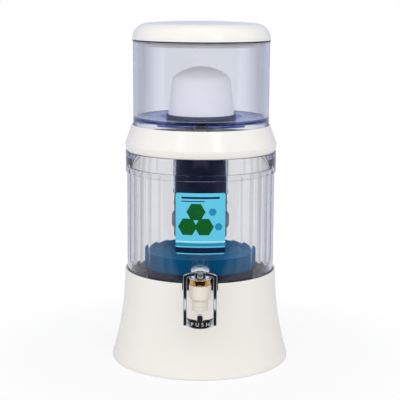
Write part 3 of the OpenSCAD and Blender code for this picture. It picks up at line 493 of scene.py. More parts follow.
def label_print():
    """Printed film: hexagons and bars drawn from the height and the width of the sheet."""
    material, tree, shader = new_material("printed_film")
    where, axes = surface_place(tree)
    x, z = axes["X"], axes["Z"]

    def between(value, low, high):
        above = calc(tree, "GREATER_THAN", value, low * MM)
        return calc(tree, "MULTIPLY", above, calc(tree, "LESS_THAN", value, high * MM))

    def hexagon(mid_x, mid_z, radius):
        dx = calc(tree, "ABSOLUTE", calc(tree, "SUBTRACT", x, mid_x * MM))
        dz = calc(tree, "ABSOLUTE", calc(tree, "SUBTRACT", z, mid_z * MM))
        slant = calc(tree, "ADD", calc(tree, "MULTIPLY", dx, COS_30), calc(tree, "MULTIPLY", dz, SIN_30))
        return calc(tree, "LESS_THAN", calc(tree, "MAXIMUM", slant, dz), radius * MM)

    green, navy, teal = tone(4, 96, 34), tone(8, 28, 70), tone(30, 140, 180)
    look = tone(96, 203, 232)
    for low, high, color in ((187.5, 196, navy), (198, 202.5, teal), (204, 205.6, tone(196, 236, 246))):
        look = blend(tree, between(z, low, high), look, color)
    for mid_x, mid_z, radius, color in (
            (-19, 227, LARGE_HEX, green), (5.5, 227, LARGE_HEX, green), (-6.7, 249.2, LARGE_HEX, green),
            (17.8, 249.2, SMALL_HEX, teal), (26.5, 227, SMALL_HEX, teal)):
        look = blend(tree, hexagon(mid_x, mid_z, radius), look, color)
    for low, high, end in ((268.5, 271.5, -BAR_START), (264.2, 265.6, 6)):
        bar = calc(tree, "MULTIPLY", between(z, low, high), between(x, BAR_START, end))
        look = blend(tree, bar, look, navy)
    ink = add_node(tree, "TexNoise", {"Vector": where, "Scale": 700.0, "Detail": 3.0}).outputs["Fac"]
    mottle = calc(tree, "MULTIPLY", ink, 0.35)
    feed(tree, shader, {
        "Base Color": blend(tree, mottle, look, (0.9, 0.92, 0.94, 1), "MULTIPLY"),
        "Roughness": calc(tree, "ADD", calc(tree, "MULTIPLY", ink, 0.12), 0.2),
        "Coat Weight": 0.3, "Coat Roughness": 0.08})
    return material


fit(label_film(), "tank", "label_film", label_print(), "front_label")

# ---- Mineral tray -----------------------------------------------------------
# A low round dish of deep blue plastic with loose stones inside. It stands on the tank's floor on a skirt
# with four water slots, whose dark navy is painted shade for the shadow under the dish, and its steel
# blue cover has ring grooves and water holes.
TRAY_R = 84.0
TRAY_Z = 146.2
TRAY_TOP = 171.2
TRAY_WALL = 2.5
SKIRT_R = 82.5
SKIRT_Z = 124.2
SLOT_HALF = 7.0
SLOT_TOP = 131.9
COVER_T = 3.0
GROOVES = 5
GROOVE_PITCH = (TRAY_R - 8) / 5.5
GROOVE_DEPTH = 1.2
HOLE_R = 2.0
dish_outline = rounded([
    (0, TRAY_Z), (TRAY_R, TRAY_Z, 2.2), (TRAY_R, TRAY_TOP, 0.3), (TRAY_R - TRAY_WALL, TRAY_TOP, 0.3),
    (TRAY_R - TRAY_WALL, TRAY_Z + TRAY_WALL, 1.5), (0, TRAY_Z + TRAY_WALL)])
dish = turned("tray_dish", dish_outline)
DEEP_BLUE = moulded("deep_blue_plastic", (0, 102, 152), (0, 82, 130), 0.4, specular=0.05)
fit(dish, "tray", "tray_plastic", DEEP_BLUE, "tray_bowl")
skirt = turned("tray_skirt", rounded([
    (SKIRT_R - TRAY_WALL, SKIRT_Z, 0.5), (SKIRT_R, SKIRT_Z, 0.5), (SKIRT_R, TRAY_Z + 0.1),
    (SKIRT_R - TRAY_WALL, TRAY_Z + 0.1)]))
for across, along in ((TRAY_R + 6, SLOT_HALF), (SLOT_HALF, TRAY_R + 6)):
    cut_away(skirt, block("slots", (-across, -along, SKIRT_Z - 1.2), (across, along, SLOT_TOP)))
# The skirt holds the dish up; its navy, far darker than the dish, is painted shade under the dish.
fit(skirt, "tray", "tray_plastic", moulded("navy_painted_shade_plastic", (12, 20, 56), (6, 12, 40), 0.34, specular=0.2))

cover_top = TRAY_TOP + COVER_T
cover_outline = [(0, TRAY_TOP), (TRAY_R, TRAY_TOP), (TRAY_R, cover_top, 0.9)]
for i in range(GROOVES, 0, -1):
    mid = i * GROOVE_PITCH
    low = cover_top - GROOVE_DEPTH
    cover_outline += [(mid + 1.9, cover_top, 0.4), (mid + 1.1, low, 0.3), (mid - 1.1, low, 0.3),
                      (mid - 1.9, cover_top, 0.4)]
cover_outline += [(0, cover_top)]
cover = turned("tray_cover_plate", rounded(cover_outline, steps=3))
drill = []
drill_outline = [(0, TRAY_TOP - 1), (HOLE_R, TRAY_TOP - 1), (HOLE_R, cover_top + 2), (0, cover_top + 2)]
for ring in (1, 2, 3):
    for i in range(6 * ring):
        hole = turned("hole", drill_outline, turns=16)
        angle = math.radians(i * 60 / ring)
        reach = ring * GROOVE_PITCH * MM
        hole.data.transform(Matrix.Translation((reach * math.cos(angle), reach * math.sin(angle), 0)))
        drill.append(hole)
cut_away(cover, joined("drill", drill))
STEEL_BLUE = moulded("steel_blue_plastic", (50, 134, 186), (28, 104, 160), 0.4, specular=0.02)
fit(cover, "tray", "cover_plastic", STEEL_BLUE, "tray_cover")


def loose_grains_group():
    """Packed grains: each cell has its own tone, and the cells stand up as height."""
    group, given, made = new_group("loose_grains", [
        ("Dark", "Color", (0.1, 0.1, 0.1, 1)), ("Light", "Color", (0.5, 0.5, 0.5, 1)),
        ("Scale", "Float", 400.0)],
        [("Color", "Color"), ("Height", "Float")])
    where = add_node(group, "TexCoord", {}).outputs["Object"]
    cell = {"Vector": where, "Scale": given["Scale"]}
    colour = add_node(group, "TexVoronoi", cell).outputs["Color"]
    edge = add_node(group, "TexVoronoi", cell, feature="DISTANCE_TO_EDGE").outputs["Distance"]
    grey = add_node(group, "RGBToBW", {"Color": colour}).outputs["Val"]
    feed(group, made, {"Color": blend(group, grey, given["Dark"], given["Light"]), "Height": edge})
    return group


LOOSE_GRAINS = loose_grains_group()


def grained(name, dark, light, scale, roughness=0.8, depth=0.6):
    """A bed of grains, or the pitted skin of a stone."""
    grains = {"Dark": tone(*dark), "Light": tone(*light), "Scale": scale}
    return grouped(name, LOOSE_GRAINS, grains, depth, 0.001, {
        "Base Color": "Color", "Roughness": roughness})


def refinish(node, material):
    """Gives a CAD node its finish."""
    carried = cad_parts[node]
    carried.data.materials.clear()
    carried.data.materials.append(material)
    return carried


refinish("mineral_stones", grained("tumbled_stone", (120, 116, 108), (196, 190, 178), 90.0, 0.6, 0.2))

# ---- Middle ring ------------------------------------------------------------
# A glossy ivory white moulding that sits on the lower tank's rim. It narrows upward in a cone to
# the socket that holds the upper tank, and its shelf has a round hole for the cartridge.
RING_Z = 326.2
RING_TOP = 366.0
RING_LOW_R = 114.0
RING_WIDE_R = 116.3
RING_TOP_R = 106.0
SOCKET_R = 104.4
SHELF_Z = 355.0
SHELF_TOP = 358.0
SHELF_HOLE_R = 64.0
ring_outline = rounded([
    (RING_LOW_R - 1, RING_Z, 0.3), (RING_LOW_R, RING_Z, 0.6), (RING_WIDE_R - 0.1, RING_Z + 9.5, 1.2),
    (RING_WIDE_R, RING_Z + 11, 0.8), (RING_WIDE_R - 0.6, RING_Z + 12.6, 0.8), (RING_TOP_R, RING_TOP, 0.9),
    (SOCKET_R, RING_TOP, 0.5), (SOCKET_R, SHELF_TOP, 0.4), (SHELF_HOLE_R, SHELF_TOP, 1.0),
    (SHELF_HOLE_R, SHELF_Z, 0.8), (SOCKET_R + 0.1, SHELF_Z, 1.0), (RING_LOW_R - 1.1, RING_Z + 11, 1.0)])
ring = turned("ring_collar", ring_outline)
WHITE = moulded("white_plastic", (244, 241, 235), (239, 234, 226), 0.2, coat=0.3)
fit(ring, "ring", "white_plastic", WHITE, "middle_ring")

# ---- Upper tank -------------------------------------------------------------
# A clear moulding, slightly bluer than the lower tank. Its floor has a round recess for the dome, a
# skirt under the floor drops into the ring's socket, and a small bead stiffens its rim.
UPPER_Z = 358.2
UPPER_TOP = 492.7
UPPER_R = 104.0
UPPER_BORE_R = 98.5
BEAD_R = 104.9
UPPER_FLOOR = 378.2
FLOOR_T = 5.0
RECESS_R = 62.0
RECESS_Z = UPPER_FLOOR - 4
STEM_HOLE_R = 8.4
upper_outline = rounded([
    (UPPER_BORE_R, UPPER_Z, 0.7), (UPPER_R, UPPER_Z, 1.0), (UPPER_R, UPPER_TOP - 1.8, 0.3),
    (BEAD_R, UPPER_TOP - 1.5, 0.3), (BEAD_R, UPPER_TOP, 0.5), (UPPER_BORE_R, UPPER_TOP, 0.5),
    (UPPER_BORE_R, UPPER_FLOOR, 1.2), (RECESS_R, UPPER_FLOOR, 0.6), (RECESS_R, RECESS_Z, 0.3),
    (STEM_HOLE_R, RECESS_Z), (STEM_HOLE_R, RECESS_Z - FLOOR_T),
    (RECESS_R + FLOOR_T, RECESS_Z - FLOOR_T, 0.2), (RECESS_R + FLOOR_T, UPPER_FLOOR - FLOOR_T, 0.2),
    (UPPER_BORE_R, UPPER_FLOOR - FLOOR_T, 0.6)], steps=4)
upper = turned("upper_tank_shell", upper_outline, sharp=30)
UPPER_CLEAR = clear_plastic("clear_lavender", (0.95, 0.95, 0.955, 1), 20.0, (0.1, 0.25, 0.65, 1))
fit(upper, "upper", "clear_plastic", UPPER_CLEAR, "upper_tank")
upper.visible_shadow = False

# ---- Lid --------------------------------------------------------------------
# A glossy ivory white cap with a full round shoulder and a nearly flat crown. A ring inside it drops
# into the upper tank and keeps it centred.
LID_Z = 492.9
LID_TOP = 522.1
LID_R = 105.0
LID_WALL = 2.5
LID_SHOULDER = 24.0
LID_CROWN = 3.0
LID_RING_R = 97.9
LID_RING_IN = 95.7
LID_RING_Z = LID_Z - 7


def lid_side(inset):
    """The lid's outline from its lower edge to its crown, drawn in by a wall."""
    mid_r, mid_z = LID_R - LID_SHOULDER, LID_TOP - LID_CROWN - LID_SHOULDER
    crown_r = arc_radius(mid_r, LID_CROWN)
    centre_z = LID_TOP - crown_r
    shoulder = arc(mid_r, mid_z, LID_SHOULDER - inset, 0, math.pi / 2, 40)[:-1]
    side = [(LID_R - inset, LID_Z)]
    side += [(r, z) for r, z in shoulder if math.hypot(r, z - centre_z) < crown_r - inset]
    last = side[-1][0]
    for k in range(1, 31):
        r = last * (1 - k / 30)
        side.append((r, centre_z + math.sqrt((crown_r - inset) ** 2 - r * r)))
    return side


lid_inner = [p for p in lid_side(LID_WALL) if p[1] > LID_Z + LID_WALL]
lid_outline = rounded([(LID_R, LID_Z, 0.9)] + lid_side(0)[1:]) + lid_inner[::-1]
lid_outline += rounded([
    (LID_R - LID_WALL, LID_Z + LID_WALL), (LID_RING_IN, LID_Z + LID_WALL, 0.5),
    (LID_RING_IN, LID_RING_Z, 0.5), (LID_RING_R, LID_RING_Z, 0.5), (LID_RING_R, LID_Z, 0.4)])
lid = turned("lid_cap", lid_outline)


def painted_lip_shadow(material, height, half):
    """A copy of a moulded finish with a painted shadow: its colour turns dark navy round a height, where
    the lid's lower lip sits on the tank.
    """
    copy = material.copy()
    tree = copy.node_tree
    # Painted shadow: a dark navy line along the lid's lower lip, where it meets the tank's rim.
    shadow_line = calc(tree, "COMPARE", surface_place(tree)[1]["Z"], height * MM, half * MM)
    base = tree.nodes["Principled BSDF"].inputs["Base Color"]
    tree.links.new(blend(tree, shadow_line, base.links[0].from_socket, tone(34, 36, 76)), base)
    return copy


# The lid's finish has a painted shadow line along its lower lip.
fit(lid, "lid", "white_plastic", painted_lip_shadow(WHITE, LID_Z + 0.8, 1.0), "lid")

# ---- Ceramic dome -----------------------------------------------------------
# A hollow dome of fine white unglazed ceramic, slip cast and fired, slightly tapered up to a round
# shoulder. It is glued into a slate grey plastic plate with a threaded stem and a gasket.
DOME_Z = 380.2
DOME_TOP = 453.2
DOME_FOOT_R = 50.5
DOME_TOP_R = 45.2
DOME_SHOULDER = 15.0
DOME_CROWN_R = 66.0
DOME_WALL = 8.0
dome_crown_z = DOME_TOP - DOME_CROWN_R
shoulder_x = DOME_TOP_R - DOME_SHOULDER
shoulder_z = dome_crown_z + math.sqrt((DOME_CROWN_R - DOME_SHOULDER) ** 2 - shoulder_x ** 2)


def dome_side(inset):
    """The dome's outline from its foot to its crown, drawn in by a wall."""
    meet = math.atan2(shoulder_z - dome_crown_z, shoulder_x)
    side = [(DOME_FOOT_R - inset, DOME_Z)]
    side += arc(shoulder_x, shoulder_z, DOME_SHOULDER - inset, 0, meet, 24)
    side += arc(0, dome_crown_z, DOME_CROWN_R - inset, meet, math.pi / 2, 24)[1:]
    side[-1] = (0.0, side[-1][1])
    return side


dome = turned("dome_shell", dome_side(0) + dome_side(DOME_WALL)[::-1])


def ceramic():
    """Unglazed ceramic: fine pores and a chalky face. A painted glow, light of its own a fifth as strong
    as white, stands for the light that spreads inside it and lifts the top that the lid shades."""
    material = grained("fired_ceramic", (243, 242, 247), (250, 249, 252), 1600.0, 0.62, 0.05)
    shader = material.node_tree.nodes["Principled BSDF"]
    # Painted glow: this emission makes the ceramic give light though it is no lamp.
    shader.inputs["Emission Color"].default_value = tone(247, 246, 250)
    shader.inputs["Emission Strength"].default_value = 0.2
    return material


fit(dome, "upper", "ceramic_white", ceramic(), "ceramic_dome")
SLATE = moulded("slate_plastic", (108, 112, 138), (92, 96, 122), 0.34, specular=0.2)
refinish("dome_plate", SLATE)
refinish("wing_nut", WHITE)
refinish("dome_gasket", moulded("dark_silicone", (62, 62, 66), (46, 46, 50), 0.55, depth=0.1))

# ---- Cartridge --------------------------------------------------------------
# A clear sleeve full of blue-black carbon grains hangs from the dome's stem by a grey head, made pale as
# painted light where it sits in shade in the ring's hole. A smoke grey housing with zeolite and silica
# sand is screwed under it by a ribbed ring, over a foot with holes.
SLEEVE_R = 43.0
SLEEVE_BORE_R = 40.0
SLEEVE_TOP = 341.2
SLEEVE_Z = 260.2
FLANGE_R = 44.0
FLANGE_TOP = SLEEVE_Z + 5
sleeve_outline = rounded([
    (SLEEVE_BORE_R, SLEEVE_Z, 0.3), (FLANGE_R, SLEEVE_Z, 0.6), (FLANGE_R, FLANGE_TOP, 0.6),
    (SLEEVE_R, FLANGE_TOP, 0.3), (SLEEVE_R, SLEEVE_TOP, 0.4), (SLEEVE_BORE_R, SLEEVE_TOP, 0.3)], steps=3)
sleeve = turned("sleeve_tube", sleeve_outline, turns=128)
SLEEVE_CLEAR = clear_plastic("clear_sleeve", (0.92, 0.93, 0.96, 1), 12.0, (0.17, 0.25, 0.625, 1),
                             roughness=0.02, ior=1.1)
fit(sleeve, "upper", "clear_plastic", SLEEVE_CLEAR, "cartridge_sleeve")
sleeve.visible_shadow = False
SMOKE = moulded("smoke_plastic", (112, 114, 134), (92, 94, 116), 0.34)
# Painted light: the head's pale tone lifts a part that stays in shade inside the ring's hole.
refinish("cartridge_head", moulded("grey_painted_light_plastic", (226, 226, 238), (208, 208, 224), 0.34))
refinish("mineral_housing", SMOKE)
refinish("cartridge_foot", SMOKE)
refinish("coupling_ring", moulded("slate_grip_plastic", (134, 136, 160), (112, 114, 142), 0.34))
refinish("carbon_bed", grained("carbon_grains", (0, 20, 58), (6, 36, 86), 700.0, 0.5, 0.7))
refinish("zeolite_bed", grained("zeolite_grains", (96, 94, 90), (176, 172, 164), 420.0, 0.8))
refinish("silica_bed", grained("silica_grains", (176, 150, 106), (232, 214, 176), 900.0, 0.7))
refinish("felt_pads", grained("pressed_felt", (214, 212, 206), (240, 239, 234), 1800.0, 0.95, 0.3))

# ---- Tap --------------------------------------------------------------------
# A glossy ivory body with a round chamber and a grooved nozzle, held in the tank's wall by a thread,
# two silicone washers and a hexagon nut. A gold plated ring sits between it and its chrome bonnet.
TAP_Y = -151.5
TAP_Z = 142.0
CHAMBER_R = 16.0
CHAMBER_BORE_R = 11.0
CHAMBER_Z = 134.5
CHAMBER_TOP = 150.2
BODY_TOP = 159.0
GOLD_SEAT_R = 13.0
SEAT_HOLE_R = 5.0
NECK_R = 10.6
NOZZLE_R = 11.2
NOZZLE_BORE_R = 8.2
NOZZLE_Z = 112.6
NOZZLE_TOP = 127.5
BONNET_Z = 159.2
SHANK_BORE_R = 4.5
THREAD_ROOT_R = 7.3
THREAD_CREST_R = 7.5
THREAD_FRONT = -114.6
THREAD_TURNS = 14
THREAD_PITCH = 1.5
body_outline = rounded([
    (CHAMBER_BORE_R, CHAMBER_Z), (SEAT_HOLE_R, CHAMBER_Z, 0.2), (SEAT_HOLE_R, NOZZLE_TOP, 0.3),
    (NOZZLE_BORE_R, NOZZLE_TOP, 0.4), (NOZZLE_BORE_R, NOZZLE_Z, 0.5), (NOZZLE_R, NOZZLE_Z, 1.0),
    (NOZZLE_R, 117.2, 0.3), (10.4, 118.0, 0.4), (NOZZLE_R, 118.8, 0.3), (NOZZLE_R, 125.2, 0.9),
    (NECK_R, 125.9, 0.6), (NECK_R, 127.6, 0.8), (11.8, 128.0, 0.8), (14.6, 130.0, 2.0),
    (CHAMBER_R, 133.2, 3.0), (CHAMBER_R, CHAMBER_TOP, 0.6), (GOLD_SEAT_R, CHAMBER_TOP, 0.2),
    (GOLD_SEAT_R, BODY_TOP, 0.3), (CHAMBER_BORE_R, BODY_TOP, 0.2)], steps=4)
body = turned("tap_body_shell", body_outline, turns=96, about_y=TAP_Y)


def laid(name, outline, turns=64):
    """A solid of revolution about the tap's level shank; the outline gives radius and depth."""
    piece = turned(name, outline, turns)
    from_axis = Matrix.Translation((0, -AXIS_Y * MM, 0))
    to_shank = Matrix.Translation((0, AXIS_Y * MM, TAP_Z * MM))
    piece.data.transform(to_shank @ Matrix.Rotation(math.radians(-90), 4, "X") @ from_axis)
    return piece


shank_outline = [(SHANK_BORE_R, -140.5), (8.0, -140.5), (8.0, -117.9), (10, -117.7), (10, -114.9),
                 (THREAD_ROOT_R, -114.9)]
for i in range(THREAD_TURNS):
    foot = THREAD_FRONT + THREAD_PITCH * i
    shank_outline += [(THREAD_ROOT_R, foot), (THREAD_CREST_R, foot + 0.35), (THREAD_CREST_R, foot + 0.65),
                      (THREAD_ROOT_R, foot + 1.0)]
shank_outline += [(7.1, -93.5), (SHANK_BORE_R, -93.5)]
body = joined("tap_body_shell", [body, laid("shank", shank_outline)])
TAP_IVORY = moulded("tap_ivory_plastic", (240, 234, 220), (228, 218, 196), 0.18, coat=0.5)
fit(body, "tank", "tap_plastic", TAP_IVORY, "tap_body")
SILICONE = moulded("clear_silicone", (216, 216, 212), (200, 200, 196), 0.45, depth=0.08)
for washer in ("tap_outer_washer", "tap_inner_washer", "valve_seal"):
    refinish(washer, SILICONE)
refinish("tap_nut", TAP_IVORY)


def polished(name, color, roughness=0.05, swirl=0.03):
    """A bright plated finish: fine wiping marks change its gloss from place to place."""
    shade = tuple(0.9 * v for v in color[:3]) + (1.0,)
    skin = {"Color": color, "Shade": shade, "Roughness": roughness, "Gloss Drift": swirl,
            "Grain Scale": 220.0}
    return grouped(name, MOULD_SKIN, skin, 0.03, 0.0002, {
        "Base Color": "Color", "Roughness": "Roughness", "Metallic": 1.0})


GOLD_R = 15.2
GOLD_BORE_R = GOLD_SEAT_R + 0.1
gold = turned("gold_ring_band", rounded([
    (GOLD_BORE_R, CHAMBER_TOP, 0.3), (14.6, CHAMBER_TOP, 0.5), (GOLD_R, 151.4, 0.8), (GOLD_R, 158.0, 0.8),
    (14.6, BONNET_Z, 0.5), (GOLD_BORE_R, BONNET_Z, 0.3)], steps=4), turns=96, about_y=TAP_Y)
fit(gold, "tank", "gold_plate", polished("gold_plate", tone(226, 178, 92), 0.08), "gold_ring")

# ---- Bonnet and valve -------------------------------------------------------
# The chrome plated bonnet screws into the body and guides the valve: a stem with a silicone seal
# that a stainless spring holds on its seat. A slot in its front lets the lever's tongue in.
BONNET_TOP = 179.2
BONNET_DOME_R = 13.5
BONNET_DOME_RISE = 6.2
BONNET_BORE_R = 9.0
STEM_GUIDE_R = 2.6
bonnet_arc = arc_radius(BONNET_DOME_R, BONNET_DOME_RISE)
lean = math.acos(BONNET_DOME_R / bonnet_arc)
crown = arc(0, BONNET_TOP - bonnet_arc, bonnet_arc, lean, math.pi / 2, 18)
crown[-1] = (0.0, BONNET_TOP)
bonnet_outline = rounded([
    (9, 148.2, 0.2), (10.8, 148.2, 0.3), (10.8, BONNET_Z), (15.9, BONNET_Z, 0.4), (16.5, 159.8, 0.4),
    (16.5, 160.6, 0.4), (15.9, 161.0, 0.3), (BONNET_DOME_R, 161.0, 0.4)]) + crown
bonnet_outline += [
    (0.0, 174.5), (5.1, 174.5), (5.1, 173.0), (BONNET_BORE_R, 173.0), (BONNET_BORE_R, 162.8),
    (STEM_GUIDE_R, 162.8), (STEM_GUIDE_R, 160.2), (BONNET_BORE_R, 160.2)]
bonnet = turned("bonnet_shell", bonnet_outline, turns=96, about_y=TAP_Y)
cut_away(bonnet, block("slot", (-4.6, TAP_Y - 15, 163.2), (4.6, TAP_Y, 173.0)))
smooth(bonnet.data)
CHROME = polished("chrome_plate", (0.82, 0.83, 0.85, 1), 0.03)
fit(bonnet, "tank", "chrome_plate", CHROME, "tap_bonnet")
STEEL = polished("stainless_steel", (0.62, 0.62, 0.63, 1), 0.16, 0.1)
for node in ("valve_stem", "valve_spring", "lever_pin"):
    refinish(node, STEEL)

# ---- Push lever -------------------------------------------------------------
# A chrome plated stirrup round the tap: two arms, an arched crossbar with a small box for the screw,
# and a bowed push plate with a lug. The screw fixes it to a black tongue that lifts the stem.
LEVER_FRONT = -171.5
LEVER_BACK = -166.5
LEVER_TOP = 173.2
LEVER_LOW = 89.2
HALF_W = 24.2
ARM_W = 5.4
CROSSBAR_Z = 158.0
ARCH_RISE = 5.4
ARCH_CORNER = 2.5
BOX_FRONT = -172.5
BOX_BACK = -167.0
BOX_LOW = 163.0
BOW_R = 45.0
PUSH_FACE = -171.7
PLATE_HALF = HALF_W - 0.4
PLATE_H = 13.3
PLATE_SAG = 3.3
LUG_HALF = 4.2
LUG_TOP = 111.1
SCREW_Z = 167.1
WORD_H = 5.4
WORD_PITCH = 7.6
WORD_UP = 6.7
CAPITAL_SHARE = 0.7
ARM_SIDE = [(LEVER_FRONT, 160.0), (LEVER_FRONT, 95.0), (-171.0, 93.9), (-170.0, 93.5), (-164.5, 93.5),
            (-164.5, 157.0), (LEVER_BACK, 160.0)]


def ease_edges(piece, width, angle=40):
    """Rounds the sharp edges of a piece as a mould does."""
    bevel = piece.modifiers.new("eased", "BEVEL")
    bevel.width = width * MM
    bevel.segments = 3
    bevel.limit_method = "ANGLE"
    bevel.angle_limit = math.radians(angle)
    apply_all(piece)
    smooth(piece.data)
    return piece


def prism(name, near, far):
    """A solid between two like outlines."""
    count = len(near)
    faces = [tuple(range(count)), tuple(reversed(range(count, 2 * count)))]
    faces += [(i, (i + 1) % count, (i + 1) % count + count, i + count) for i in range(count)]
    return add_piece(name, near + far, faces)


def head_half(side):
    """One half of the arched crossbar with the top of its arm, seen from the front."""
    arch_r = arc_radius(HALF_W, ARCH_RISE)
    centre_z = LEVER_TOP - arch_r
    corner_x = HALF_W - ARCH_CORNER
    corner_z = centre_z + math.sqrt((arch_r - ARCH_CORNER) ** 2 - corner_x ** 2)
    meet = math.atan2(corner_z - centre_z, corner_x)
    line = [(HALF_W, CROSSBAR_Z)] + arc(corner_x, corner_z, ARCH_CORNER, 0, meet, 6)
    line += [(x, centre_z + math.sqrt(arch_r ** 2 - x * x)) for x in (20, 17, 14, 11, 7.4)]
    line += [(7.4, 167.3), (10, 167.1), (13, 166.6), (16, 165.8), (17.4, 165.2), (18.3, 164.4),
             (18.7, 163.6), (HALF_W - ARM_W, 162.6), (HALF_W - ARM_W, CROSSBAR_Z)]
    return line if side > 0 else [(-x, z) for x, z in reversed(line)]


parts = []
for side in (-1, 1):
    half = head_half(side)
    front, back = ([(x, y, z) for x, z in half] for y in (LEVER_FRONT, LEVER_BACK))
    parts.append(ease_edges(prism("crossbar", front, back), 0.8))
for side in (-1, 1):
    near, far = ([(side * x, y, z) for y, z in ARM_SIDE] for x in (HALF_W - ARM_W, HALF_W))
    parts.append(ease_edges(prism("arm", near, far), 1.1, angle=50))
for name, low, high, width in (
        ("box_side", (-8.0, BOX_FRONT, BOX_LOW), (-6.6, BOX_BACK, 172.5), 0.4),
        ("box_side", (6.6, BOX_FRONT, BOX_LOW), (8.0, BOX_BACK, 172.5), 0.4),
        ("box_top", (-7.9, BOX_FRONT, 171.7), (7.9, BOX_BACK, 172.6), 0.3),
        ("box_back", (-7.5, -168.3, BOX_LOW), (7.5, LEVER_BACK, 172.2), 0.2)):
    parts.append(ease_edges(block(name, low, high), width))


def bow(x):
    """How far back the bowed plate lies at a place across it."""
    return PUSH_FACE + BOW_R - math.sqrt(BOW_R * BOW_R - x * x)


def bowed_plate(name, half, low_edge, high_edge, columns=28, rows=6, thick=2.6):
    """A plate bent to the bow, between a lower and an upper edge that are given across it."""
    points, faces = [], []
    for i in range(columns + 1):
        x = half * (2 * i / columns - 1)
        for j in range(rows + 1):
            z = low_edge(x) + (high_edge(x) - low_edge(x)) * j / rows
            points.append((x, bow(x), z))
    for i in range(columns):
        for j in range(rows):
            a, b = i * (rows + 1) + j, (i + 1) * (rows + 1) + j
            faces.append((a, b, b + 1, a + 1))
    plate = add_piece(name, points, faces)
    return ease_edges(thickened(plate, thick, -1), 0.5)


def sag(x):
    """How much higher the plate's edges lie at a place across it."""
    radius = arc_radius(PLATE_HALF, PLATE_SAG)
    return radius - math.sqrt(radius ** 2 - x * x)


def lug_top(x):
    """The lug's round upper edge."""
    return LUG_TOP - LUG_HALF + math.sqrt(max(0.0, LUG_HALF ** 2 - x * x))


parts.append(bowed_plate(
    "plate", PLATE_HALF, lambda x: LEVER_LOW + sag(x), lambda x: LEVER_LOW + PLATE_H + sag(x)))
parts.append(bowed_plate(
    "lug", LUG_HALF, lambda x: LEVER_LOW + 11.5, lug_top, columns=16, rows=5, thick=2.3))
lever = joined("stirrup_lever", parts)
flat = lever.modifiers.new("flat_faces", "WEIGHTED_NORMAL")
flat.keep_sharp = True
flat.weight = 100
apply_all(lever)
fit(lever, "lever", "chrome_plate", CHROME, "push_lever")


def raised_word(word, height, pitch, mid_z):
    """Raised capitals on the push plate, one letter at a time, bent to its bow."""
    letters = []
    for i, letter in enumerate(word):
        curve = bpy.data.curves.new("letter", "FONT")
        curve.body = letter
        curve.size = height / CAPITAL_SHARE * MM
        curve.extrude = 0.12 * MM
        curve.align_x = "CENTER"
        text = shown("letter", curve)
        bpy.context.view_layer.update()
        mesh = baked(text)
        bpy.data.objects.remove(text)
        middle = (i - (len(word) - 1) / 2) * pitch
        for v in mesh.vertices:
            x, up, out = v.co.x / MM + middle, v.co.y / MM, v.co.z / MM
            v.co = (x * MM, (AXIS_Y + bow(x) - 0.1 - out) * MM, (mid_z - height / 2 + up) * MM)
        letters.append(shown("letter", mesh))
    return joined("push_word", letters)


letters = raised_word("PUSH", WORD_H, WORD_PITCH, LEVER_LOW + WORD_UP)
fit(letters, "lever", "chrome_plate", moulded("satin_letters", (214, 214, 216), (190, 190, 194), 0.4))


def pan_screw():
    """A cross-recessed pan head screw, seen end on."""
    head = laid("screw_head", rounded([
        (0, -170.5), (2.6, -170.4), (3.9, -169.9), (4.4, -169.2, 0.3), (4.4, -168.3, 0.2),
        (0, -168.3)]), turns=48)
    shaft = laid("screw_shaft", [(0, -168.4), (1.7, -168.4), (1.7, -163.6), (0, -163.6)], turns=32)
    for piece in (head, shaft):
        piece.data.transform(Matrix.Translation((0, 0, (SCREW_Z - TAP_Z) * MM)))
    for across, up in ((2.5, 0.5), (0.5, 2.5)):
        cut_away(head, block("recess", (-across, -172, SCREW_Z - up), (across, -169.4, SCREW_Z + up)))
    return joined("pan_screw", [head, shaft])


ZINC = polished("zinc_plate", (0.86, 0.86, 0.88, 1), 0.34)
fit(pan_screw(), "lever", "spring_steel", ZINC, "lever_screw")
refinish("lever_tongue", moulded("black_plastic", (30, 30, 33), (22, 22, 24), 0.4))

# ---- Studio -----------------------------------------------------------------
# A pale floor that runs out to white, soft lamps, and the camera on the tap's side, a little above
# the lid.
CAMERA_PLACE = (-0.000918, -1.82225, 0.5738)
CAMERA_LENS = 108.37
CAMERA_DOWN = 10.07
CAMERA_ROLL = 0.345
BAND_AHEAD = 0.6125
SKY_STRENGTH = 0.68
BOUNCES = 32


def seen_and_mirrored(tree):
    """Whether a ray sees a surface straight or through clear plastic, whether it was mirrored, and
    whether it came through clear plastic unmirrored."""
    path = add_node(tree, "LightPath", {}).outputs
    mirrored = calc(tree, "GREATER_THAN", path["Glossy Depth"], 0.5)
    through = calc(tree, "MULTIPLY", path["Is Transmission Ray"], calc(tree, "SUBTRACT", 1.0, mirrored))
    return calc(tree, "MAXIMUM", path["Is Camera Ray"], through), mirrored, through


def ramp(tree, value, start, end, low=0.0, high=1.0, curve="LINEAR"):
    """A value that goes from low to high while another goes from start to end."""
    span = {"Value": value, "From Min": start, "From Max": end, "To Min": low, "To Max": high}
    return add_node(tree, "MapRange", span, interpolation_type=curve).outputs["Result"]


def either(tree, share, first, second):
    """A mix of two shaders, by the share of the second."""
    return add_node(tree, "MixShader", {"Fac": share, 1: first.outputs[0], 2: second.outputs[0]})


